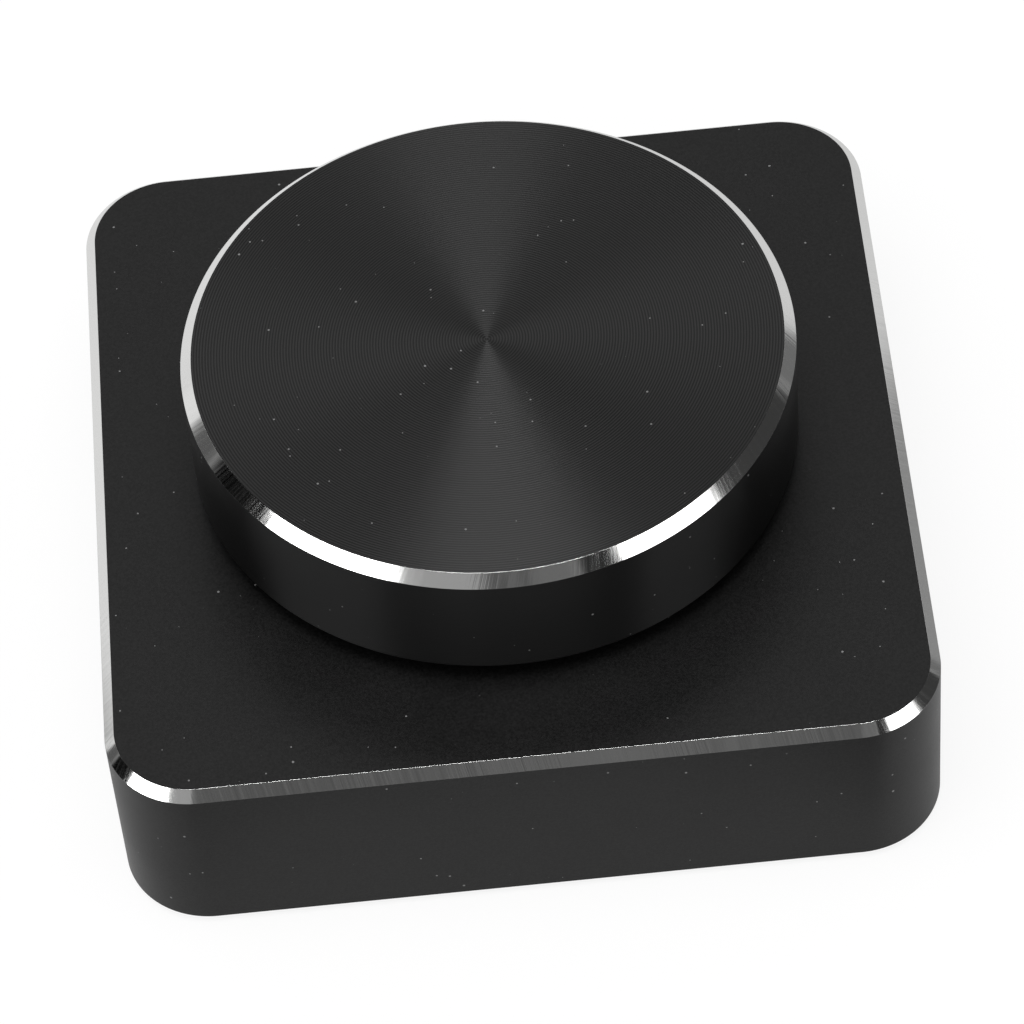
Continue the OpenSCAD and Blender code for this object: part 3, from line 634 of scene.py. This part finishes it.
@dataclass(frozen=True)
class Moulded(Finish):
    """Moulded plastic, epoxy, rubber or ceramic with a fine skin."""

    colour: Triple = (0.02, 0.02, 0.02)
    roughness: float = 0.5
    grain: float = 4.0
    relief: float = 0.00001
    level: float = 0.5

    def write(self, graph: Graph) -> None:
        """A faint orange-peel of one grain size, with the colour drifting slightly.

        Args:
            graph: the empty graph.
        """
        mm = graph.millimetres()
        peel = graph.noise(mm, self.grain, 3.0, 0.6)
        drift = graph.noise(mm, 0.25, 2.0)
        r, g, b = self.colour
        tint = graph.mix("RGBA", graph.swung(drift, 0.0, 1.0), (r, g, b, 1),
                         (r * 1.12, g * 1.12, b * 1.1, 1))
        graph.shader({"Base Color": tint,
                      "Roughness": graph.swung(peel, self.roughness - 0.04,
                                               self.roughness + 0.05),
                      "Specular IOR Level": self.level,
                      "Normal": graph.bump(peel, 0.4, self.relief)})


# ---------------------------------------------------------------- sub-assemblies


def place(parts: Sequence[Surface], finishes: Sequence[Finish], body: str, node: str,
          slot: str) -> None:
    """Makes one piece from surfaces, lets it ride on a body and lets it stand for a node.

    Args:
        parts: the surfaces.
        finishes: the finishes that the bands count in.
        body: the body it moves with.
        node: the node it stands for.
        slot: the record's material slot; not used.
    """
    piece = Surface.joined(parts).to_object(node + "_skin", [f.material() for f in finishes])
    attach(piece, body)
    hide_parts(node)
    LOG.info("built %s: %d faces", piece.name, len(piece.data.polygons))


class Band(Enum):
    """Material slots of the machined shells."""

    SKIN = 0
    EDGE = 1
    WALL = 2


@dataclass
class BaseHousing:
    """The machined base: outer skin, chamfer, roof hole, rear slot, cavity, bosses and posts."""

    width: float = 65.0
    radius: float = 7.0
    low: float = 0.6
    top: float = 16.6
    chamfer: float = 0.8
    wall: float = 2.5
    ceiling: float = 14.1
    keep: float = 3.5
    hole: float = 3.65
    slot_width: float = 9.54
    slot_height: float = 3.86
    slot_z: float = 8.28
    window_low: float = 4.98
    window_high: float = 11.58
    window_rows: int = 14
    draw_rows: int = 4
    boss: float = 25.8536
    boss_radius: float = 3.15
    boss_bore: float = 1.28
    post_x: float = 18.4036
    post_y: tuple[float, float] = (-18.5, 26.0)
    post_radius: float = 2.7
    post_bore: float = 1.03
    plate_top: float = 3.0
    board_top: float = 6.65
    sunk: float = 0.2

    @property
    def outline(self) -> RoundSquare:
        """The outline that the section is carried round."""
        return RoundSquare(self.width, self.radius)

    @property
    def levels(self) -> np.ndarray:
        """Heights of the rear window's rows."""
        return np.linspace(self.window_low, self.window_high, self.window_rows)

    def section(self) -> tuple[np.ndarray, np.ndarray, np.ndarray]:
        """Closed section of the wall and roof, as insets and heights.

        It goes up the outer wall, over the chamfer, across the top to the hole, down the hole,
        back along the ceiling and down the inner wall.

        Returns:
            (m, 2) section, (m - 1,) bands, and (m,) marks: 1 for the outer window rows, 2 for
            the inner ones and 0 elsewhere.
        """
        middle = self.width / 2 - self.hole
        corners = np.array([[0, self.low], [0, self.top - self.chamfer],
                            [self.chamfer, self.top], [middle, self.top],
                            [middle, self.ceiling], [self.wall, self.ceiling],
                            [self.wall, self.low]])
        soft = np.array([0.12, 0.008, 0.008, 0.1, 0.1, 0.3, 0.12])
        a, b, c, d, e, f, g = eased(corners, soft, 4, 0.02)
        up = self.levels
        outer, inner = pairs(0.0, up), pairs(self.wall, up[::-1])
        reach = np.array([self.keep, 9.0, 15.0, 21.0])
        across, under = pairs(reach, self.top), pairs(reach[::-1], self.ceiling)
        parts = [a, outer, b, c, across, d, e, under, f, inner, g, a[:1]]
        marks = [0, 1, 0, 0, 0, 0, 0, 0, 0, 2, 0, 0]
        section = np.concatenate(parts)
        mark = np.concatenate([np.full(len(p), m) for p, m in zip(parts, marks)])
        band = np.full(len(section) - 1, Band.SKIN.value)
        start = len(a) + len(outer) + len(b) // 2
        band[start:start + len(b)] = Band.EDGE.value
        return section, band, mark

    def skin(self) -> Surface:
        """Carries the section round the outline and leaves out the rear window's cells.

        Returns:
            The surface, open only at the window.
        """
        section, band, mark = self.section()
        points = self.outline.carried(section, self.hole, self.keep)
        first = self.outline.side_steps
        drop = np.zeros((len(section) - 1, points.shape[1]), bool)
        for value in (1, 2):
            rows = np.flatnonzero(mark == value)
            drop[rows[0]:rows[-1], first:first + self.outline.mark_steps] = True
        return Surface.grid(points, self.outline.along(), run_length(section), band, drop)

    def window(self) -> Surface:
        """The rear wall round the socket's slot, and the slot itself.

        The rectangle left open in the skin is drawn in ring by ring to the slot's outline. A
        rectangle point q has its slot point at c + R n, where c is the point nearest to q on
        the slot's middle line, n points from c to q, and R is half the slot's height.

        Returns:
            The surface, closed against the skin on both faces of the wall.
        """
        outline = self.outline
        x = np.linspace(outline.mark, -outline.mark, outline.mark_steps + 1)
        z = self.levels
        loop = np.concatenate([pairs(x[:-1], z[0]), pairs(x[-1], z[:-1]),
                               pairs(x[:0:-1], z[-1]), pairs(x[0], z[:0:-1])])
        radius = self.slot_height / 2
        reach = (self.slot_width - self.slot_height) / 2
        centre = pairs(np.clip(loop[:, 0], -reach, reach), self.slot_z)
        out = loop - centre
        out /= np.linalg.norm(out, axis=1, keepdims=True)
        face, back = self.width / 2, self.width / 2 - self.wall
        rim = eased(np.array([[2.0, face], [0.0, face], [0.0, back], [2.0, back]]),
                    np.array([0.1, 0.2, 0.1, 0.1]), 4, 0.05)
        ring = np.concatenate([rim[1], rim[2]])
        t = np.linspace(0, 1, self.draw_rows + 1)[:-1]
        start = centre + (radius + ring[0, 0]) * out
        end = centre + (radius + ring[-1, 0]) * out
        drawn = (1 - t)[:, None, None] * loop + t[:, None, None] * start
        slot = centre[None] + (radius + ring[:, 0])[:, None, None] * out
        spread = t[:, None, None] * loop + (1 - t)[:, None, None] * end
        spread = np.concatenate([spread[1:], loop[None]])
        flat = np.concatenate([drawn, slot, spread])
        depth = np.concatenate([np.full(len(t), face), ring[:, 1], np.full(len(t), back)])
        points = np.stack([flat[..., 0], np.broadcast_to(depth[:, None], flat.shape[:2]),
                           flat[..., 1]], -1)
        along = run_length(np.concatenate([loop, loop[:1]]))
        return Surface.grid(points, along, run_length(pairs(depth, depth)),
                            np.zeros(len(depth) - 1, int))

    def bosses(self) -> list[Surface]:
        """Makes the tubes that take the plate's and the board's screws, sunk into the roof.

        Returns:
            Four bosses and four posts.
        """
        end = self.ceiling + self.sunk
        places = [(sx * self.boss, sy * self.boss) for sx in (-1, 1) for sy in (-1, 1)]
        posts = [(sx * self.post_x, y) for sx in (-1, 1) for y in self.post_y]
        return ([tube(self.boss_radius, self.boss_bore, self.plate_top, end, p) for p in places]
                + [tube(self.post_radius, self.post_bore, self.board_top, end, p) for p in posts])

    def build(self, skin: Finish, edge: Finish) -> None:
        """Builds the housing.

        Args:
            skin: finish of the walls and the top.
            edge: finish of the chamfer.
        """
        place([self.skin(), self.window(), *self.bosses()], [skin, edge], "base", "housing",
              "anodised_base")


@dataclass
class KnobShell:
    """The turned knob: ringed top, bright chamfer, finely lined wall and hollow underside."""

    radius: float = 24.25
    low: float = 18.4
    top: float = 29.0
    chamfer: float = 0.9
    bore: float = 21.05
    roof: float = 26.6
    segments: int = 512

    def build(self, face: Finish, edge: Finish, wall: Finish) -> None:
        """Builds the knob's shell as one turned section that starts and ends on the axis.

        Args:
            face: finish of the top.
            edge: finish of the chamfer.
            wall: finish of the side and the inside.
        """
        corners = np.array([[self.radius - self.chamfer, self.top],
                            [self.radius, self.top - self.chamfer], [self.radius, self.low],
                            [self.bore, self.low], [self.bore, self.roof], [0.0, self.roof],
                            [0.0, self.top]])
        soft = np.array([0.008, 0.008, 0.25, 0.15, 0.3, 0.1, 0.1])
        arcs = eased(corners, soft, 4, 0.02)[:5]
        inner = np.array([[6.0, self.roof], [0.0, self.roof]])
        crown = np.array([[0.0, self.top], [6.0, self.top], [15.0, self.top]])
        section = np.concatenate([crown, *arcs, inner])
        per = arcs.shape[1]
        start = len(crown) + per // 2
        band = np.full(len(section) - 1, Band.WALL.value)
        band[:start] = Band.SKIN.value
        band[start:start + per] = Band.EDGE.value
        place([turned(section, band, self.segments)], [face, edge, wall], "knob", "knob_shell",
              "anodised_knob")


@dataclass
class FootPad:
    """The soft pad under the base, with a rounded lower edge and a shallow groove in its face.

    A groove's wall has room for the softness and the hold of both its corners.
    """

    width: float = 59.0
    radius: float = 4.0
    thickness: float = 1.5
    groove: tuple[float, float] = (1.6, 2.4)
    groove_depth: float = 0.15
    groove_soft: float = 0.035
    hold: float = 0.03

    def build(self, finish: Finish) -> None:
        """Builds the pad: its section carried round, closed on the axis above and below.

        Args:
            finish: the pad's rubber.
        """
        outline = RoundSquare(self.width, self.radius, mark_steps=8, corner_steps=24)
        half = self.width / 2
        near, far = self.groove
        deep = self.groove_depth
        corners = np.array([[half, 0.0], [far, 0.0], [far, deep], [near, deep], [near, 0.0],
                            [0.0, 0.0], [0.0, self.thickness], [half, self.thickness]])
        soft = np.array([0.1, *[self.groove_soft] * 4, 0.35, 0.15, 0.1])
        arcs = eased(corners, soft, 4, self.hold)[1:-1]
        section = np.concatenate([[[half, 0.0], [half / 2, 0.0]], *arcs,
                                  [[half / 2, self.thickness], [half, self.thickness]]])
        points = outline.carried(section, 0.0, 3.0)
        pad = Surface.grid(points, outline.along(), run_length(section),
                           np.zeros(len(section) - 1, int))
        place([pad], [finish], "base", "foot_pad", "foot_rubber")


class Dressed:
    """A sub-assembly whose pieces keep their solids; looks has each node's finish."""

    looks: dict[str, Finish]

    def dress(self) -> None:
        """Gives each solid its finish in every material slot, leaving its mesh alone."""
        for name, finish in self.looks.items():
            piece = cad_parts[name]
            made = finish.material()
            if not piece.material_slots:
                piece.data.materials.append(made)
            for index in range(len(piece.material_slots)):
                piece.material_slots[index].material = made
            LOG.info("dressed %s in %s", name, finish.name)


class Underside(Dressed):
    """The base plate and its screws, behind the foot pad."""

    steel = PlatedMetal("rolled_plate", (0.45, 0.46, 0.47), 0.34, (0.5, 8.0, 8.0))
    zinc = PlatedMetal("black_zinc", (0.06, 0.06, 0.065), 0.35, (6.0, 6.0, 1.0))
    looks = {"base_plate": steel, "plate_screws": zinc}


class BoardAssembly(Dressed):
    """The circuit board with its screws and small parts."""

    mask = Moulded("solder_mask", (0.012, 0.085, 0.036), 0.28, 1.5, 0.00002)
    nickel = PlatedMetal("nickel", (0.58, 0.57, 0.54), 0.25, (3.0, 3.0, 3.0))
    can = PlatedMetal("drawn_can", (0.62, 0.62, 0.63), 0.2, (1.0, 6.0, 6.0))
    epoxy = Moulded("moulded_epoxy", (0.014, 0.014, 0.016), 0.6, 6.0, 0.00001)
    ceramic = Moulded("fired_ceramic", (0.36, 0.23, 0.13), 0.45, 8.0, 0.000008)
    tin = PlatedMetal("tinned", (0.6, 0.6, 0.61), 0.38, (4.0, 4.0, 4.0))
    looks = {"circuit_board": mask, "board_screws": nickel, "crystal": can,
             "controller_chip": epoxy, "resistors": epoxy, "capacitors": ceramic,
             "chip_leads": tin}


class RearSocket(Dressed):
    """The socket that shows in the rear wall's slot."""

    shell = PlatedMetal("socket_steel", (0.6, 0.6, 0.6), 0.24, (4.0, 0.7, 4.0))
    tongue = Moulded("socket_tongue", (0.012, 0.012, 0.013), 0.4, 5.0, 0.000008)
    gold = PlatedMetal("contact_gold", (0.86, 0.6, 0.24), 0.2, (3.0, 0.8, 3.0))
    looks = {"usb_shell": shell, "usb_tongue": tongue, "usb_contacts": gold}


class Encoder(Dressed):
    """The rotary encoder: bracket, bushing, nut, case, rotor, shaft and contacts."""

    zinc = PlatedMetal("bright_zinc", (0.55, 0.56, 0.57), 0.3, (0.8, 8.0, 8.0))
    turned = PlatedMetal("turned_zinc", (0.52, 0.53, 0.54), 0.28, (1.0, 1.0, 14.0))
    case = Moulded("case_moulding", (0.012, 0.012, 0.014), 0.5, 5.0, 0.00001)
    acetal = Moulded("acetal", (0.75, 0.73, 0.68), 0.4, 3.0, 0.000006)
    bronze = PlatedMetal("spring_bronze", (0.6, 0.42, 0.17), 0.28, (5.0, 0.8, 5.0))
    copper = PlatedMetal("code_copper", (0.6, 0.27, 0.13), 0.3, (5.0, 5.0, 1.0))
    looks = {"encoder_bracket": zinc, "encoder_bushing": turned, "bushing_washer": zinc,
             "bushing_nut": turned, "encoder_case": case, "encoder_terminals": zinc,
             "wiper_contacts": bronze, "detent_spring": zinc, "rotor": acetal,
             "code_ring": copper, "encoder_shaft": turned, "shaft_clip": zinc}


class PushSwitch(Dressed):
    """The switch that the shaft's lower end presses."""

    shell = Moulded("switch_moulding", (0.72, 0.7, 0.64), 0.45, 3.0, 0.000006)
    spring = PlatedMetal("dome_steel", (0.6, 0.58, 0.53), 0.22, (2.0, 2.0, 2.0))
    looks = {"switch_case": shell, "switch_plunger": shell, "switch_dome": spring,
             "switch_terminals": spring}


class KnobCore(Dressed):
    """The moulded core that carries the shell on the shaft."""

    looks = {"knob_core": Moulded("core_moulding", (0.02, 0.02, 0.022), 0.5, 3.0, 0.00001)}


# ---------------------------------------------------------------- studio


@dataclass(frozen=True)
class Zone:
    """A soft-edged patch of the surroundings, by compass bearing and height in degrees.

    Bearing 0 is in front of the object (-Y) and 90 is to its right (+X).
    """

    bearing: tuple[float, float]
    height: tuple[float, float]
    factor: float
    soft: float = 4.0

    def mask(self, graph: Graph, bearing: Socket, height: Socket) -> Socket:
        """A mask of 1 inside the patch, falling smoothly to 0 over its soft edge.

        Args:
            graph: the graph to write into.
            bearing: bearing of the direction, in degrees.
            height: height of the direction, in degrees.

        Returns:
            The mask.
        """
        sides = [graph.spread(v, lo - self.soft, lo + self.soft)
                 for v, lo in ((bearing, self.bearing[0]), (height, self.height[0]))]
        sides += [graph.spread(v, hi - self.soft, hi + self.soft, 1.0, 0.0)
                  for v, hi in ((bearing, self.bearing[1]), (height, self.height[1]))]
        product = sides[0]
        for side in sides[1:]:
            product = graph.math("MULTIPLY", product, side)
        return product


@dataclass
class Studio:
    """A white light tent with dark gaps, soft lamps and a pale floor."""

    floor_size: float = 3.0
    floor_drop: float = 0.0001
    floor_paint: float = 0.85
    floor_glow: float = 1.08
    glow_share: float = 0.8
    floor_height: float = -3.0
    near: tuple[float, float] = (0.042, 0.062)
    diffuse_level: float = 0.4
    tent_level: float = 0.78
    floor_level: float = 0.74
    middle: float = 0.02
    zones: tuple[Zone, ...] = (
        Zone((-400, 400), (60, 100), 0.04),
        Zone((110, 400), (33, 57), 1.2, 6),
        Zone((-400, -110), (33, 57), 1.35, 6),
        Zone((153, 400), (5, 33), 0.12, 6),
        Zone((-400, -153), (5, 33), 0.12, 6),
        Zone((-11, 23), (-20, 62), 0.17, 1.5),
        Zone((-6.5, -0.5), (30, 50), 0.6, 1.5),
        Zone((3.2, 7), (30, 50), 0.6, 1.2),
        Zone((-36, -11), (-20, 62), 0.4, 2),
        Zone((23, 39), (-20, 62), 0.02, 1.5),
        Zone((74, 111), (-20, 62), 0.05, 2),
        Zone((111, 126), (-20, 62), 0.19, 2),
        Zone((126, 400), (-20, 3), 0.85, 2),
        Zone((-106, -80), (-20, 62), 0, 3),
        Zone((-117, -106), (-20, 62), 0.12, 2),
    )

    def patched(self, graph: Graph, x: Value, y: Value, height: Value,
                level: float) -> Value:
        """The light that reflections find in a direction: a level times the patches there.

        Args:
            graph: the graph to write into.
            x: the direction's part to the right.
            y: the direction's part to the rear.
            height: its height in degrees.
            level: light outside every patch.

        Returns:
            The light.
        """
        bearing = graph.math("MULTIPLY", graph.math("ARCTAN2", x, graph.math("MULTIPLY", y, -1.0)),
                             180 / math.pi)
        light: Value = level
        for zone in self.zones:
            share = graph.math("MULTIPLY_ADD", zone.mask(graph, bearing, height),
                               zone.factor - 1.0, 1.0)
            light = graph.math("MULTIPLY", light, share)
        return light

    def world(self) -> None:
        """White for the camera, patched for reflections, plainer for soft light."""
        world = bpy.data.worlds.new("light_tent")
        world.use_nodes = True
        bpy.context.scene.world = world
        graph = Graph(world.node_tree)
        x, y, z = graph.parts(graph.add("ShaderNodeTexCoord").outputs["Generated"])
        height = graph.math("MULTIPLY", graph.math("ARCSINE", z), 180 / math.pi)
        light = self.patched(graph, x, y, height, self.tent_level)
        rays = graph.add("ShaderNodeLightPath").outputs
        soft = graph.mix("FLOAT", rays["Is Diffuse Ray"], light, self.diffuse_level)
        level = graph.mix("FLOAT", rays["Is Camera Ray"], soft, 1.0)
        back = graph.add("ShaderNodeBackground", {"Color": (1, 1, 1, 1), "Strength": level})
        graph.output(back, "ShaderNodeOutputWorld")

    def floor(self) -> None:
        """A pale floor: white to the camera, patched to reflections, and with a shadow.

        Reflections find it plain up to near[0] metres from the axis and patched from near[1].
        It lies floor_drop under the pad, so the two planes never meet, and is clear from below.
        """
        size, low = self.floor_size, -self.floor_drop
        mesh = bpy.data.meshes.new("floor")
        mesh.from_pydata([(-size, -size, low), (size, -size, low), (size, size, low),
                          (-size, size, low)], [], [(0, 1, 2, 3)])
        piece = bpy.data.objects.new("floor", mesh)
        bpy.context.scene.collection.objects.link(piece)
        material = bpy.data.materials.new("tent_floor")
        material.use_nodes = True
        graph = Graph(material.node_tree)
        rays = graph.add("ShaderNodeLightPath").outputs
        others = graph.math("MAXIMUM", rays["Is Glossy Ray"], rays["Is Transmission Ray"])
        place = graph.add("ShaderNodeTexCoord").outputs["Object"]
        x, y, _ = graph.parts(place)
        away = graph.spread(graph.vector("LENGTH", place), *self.near)
        far = self.patched(graph, x, y, self.floor_height, self.floor_level)
        level = graph.math("MULTIPLY_ADD", away, graph.math("SUBTRACT", far, self.floor_level),
                           self.floor_level)
        strength = graph.mix("FLOAT", others, self.floor_glow, level)
        share = graph.math("MULTIPLY", graph.math("ADD", others, rays["Is Camera Ray"]),
                           self.glow_share)
        paint = graph.add("ShaderNodeBsdfDiffuse", {"Color": (*[self.floor_paint] * 3, 1)})
        glow = graph.add("ShaderNodeEmission", {"Color": (1, 1, 1, 1), "Strength": strength})
        both = graph.add("ShaderNodeMixShader", {0: share, 1: paint.outputs[0],
                                                 2: glow.outputs[0]})
        under = graph.add("ShaderNodeNewGeometry").outputs["Backfacing"]
        clear = graph.add("ShaderNodeBsdfTransparent")
        seen = graph.add("ShaderNodeMixShader", {0: under, 1: both.outputs[0],
                                                 2: clear.outputs[0]})
        graph.output(seen)
        mesh.materials.append(material)

    def lamp(self, name: str, size: tuple[float, float], position: Vector, target: Vector,
             radiance: float, glossy: bool = True) -> None:
        """A rectangular softbox, which lights either reflections or soft light.

        Args:
            name: its name.
            size: width and length in metres.
            position: where its middle is.
            target: the point that it faces.
            radiance: how bright its face is.
            glossy: whether reflections show it, or else soft light.
        """
        data = bpy.data.lights.new(name, "AREA")
        data.shape = "RECTANGLE"
        data.size, data.size_y = size
        data.energy = radiance * math.pi * size[0] * size[1]
        piece = bpy.data.objects.new(name, data)
        piece.location = position
        piece.rotation_mode = "QUATERNION"
        piece.rotation_quaternion = (target - position).to_track_quat("-Z", "Y")
        piece.visible_camera = False
        piece.visible_glossy = glossy
        piece.visible_diffuse = not glossy
        bpy.context.scene.collection.objects.link(piece)

    def stand(self, bearing: float, height: float, distance: float) -> Vector:
        """Finds a point about the object's middle.

        Args:
            bearing: its bearing in degrees, 0 in front and 90 to the right.
            height: its height in degrees.
            distance: its distance in metres.

        Returns:
            The point.
        """
        a, h = math.radians(bearing), math.radians(height)
        return Vector((math.sin(a) * math.cos(h), -math.cos(a) * math.cos(h),
                       math.sin(h))) * distance + Vector((0, 0, self.middle))

    def build(self) -> None:
        """Sets up the world, the floor and the lamps."""
        self.world()
        self.floor()
        middle = Vector((0, 0, self.middle))
        above = Vector((0, -0.27, 1.22))
        self.lamp("overhead_strip", (0.68, 0.74), above, above - Vector((0, 0, 1)), 11.0)
        self.lamp("soft_key", (1.2, 1.2), Vector((-0.2, -0.3, 1.2)), middle, 2.2, False)
        self.lamp("left_box", (0.4, 0.44), self.stand(-60.5, 21.0, 0.6), middle, 3.8)
        self.lamp("right_box", (0.3, 0.44), self.stand(54.0, 21.0, 0.6), middle, 2.8)
        LOG.info("studio ready")


@dataclass
class Viewpoint:
    """The photograph's camera, as found from the object's edges.

    Angles are in degrees. aim, distance and shift are in base widths, of unit metres each, from
    the base's lower edge, which is lift metres up.
    """

    turn: float = -0.3419
    height: float = 50.9561
    roll: float = -5.3654
    distance: float = 6.5011
    shift: tuple[float, float] = (0.0164, -0.0602)
    focal_px: float = 5231.31
    image_px: float = 1024.0
    aim: float = 0.2
    unit: float = 0.065
    lift: float = 0.0006

    def build(self) -> None:
        """Stands the camera back along its line of sight, rolls it and makes it active."""
        az, el, ro = (math.radians(v) for v in (self.turn, self.height, self.roll))
        back = Vector((math.sin(az) * math.cos(el), -math.cos(az) * math.cos(el), math.sin(el)))
        right = Vector((math.cos(az), math.sin(az), 0))
        up = back.cross(right)
        across = math.cos(ro) * right + math.sin(ro) * up
        above = -math.sin(ro) * right + math.cos(ro) * up
        eye = (Vector((0, 0, self.aim)) + back * self.distance + across * self.shift[0]
               + above * self.shift[1]) * self.unit + Vector((0, 0, self.lift))
        data = bpy.data.cameras.new("viewpoint")
        data.sensor_width = 36.0
        data.lens = self.focal_px * data.sensor_width / self.image_px
        data.clip_start, data.clip_end = 0.01, 20.0
        camera = bpy.data.objects.new("viewpoint", data)
        camera.matrix_world = Matrix.Translation(eye) @ Matrix(
            (across, above, back)).transposed().to_4x4()
        bpy.context.scene.collection.objects.link(camera)
        bpy.context.scene.camera = camera
        LOG.info("camera ready, lens %.1f mm", data.lens)


def main() -> None:
    """Builds the studio, the camera and every piece in order."""
    logging.basicConfig(level=logging.INFO, format="%(name)s: %(message)s")
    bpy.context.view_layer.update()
    bpy.context.scene.view_settings.view_transform = "Standard"
    Viewpoint().build()
    Studio().build()
    blasted = BlastedAnodise("blasted_anodise")
    BaseHousing().build(blasted, CutEdge("cut_edge_base"))
    KnobShell().build(TurnedFace("turned_face"), CutEdge("cut_edge_knob"),
                      TurnedWall("turned_wall"))
    FootPad().build(Moulded("foot_rubber_skin", (0.012, 0.012, 0.012), 0.72, 2.5, 0.00003, 0.4))
    for part in (Underside(), BoardAssembly(), RearSocket(), Encoder(), PushSwitch(),
                 KnobCore()):
        part.dress()


if __name__ == "__main__":
    main()
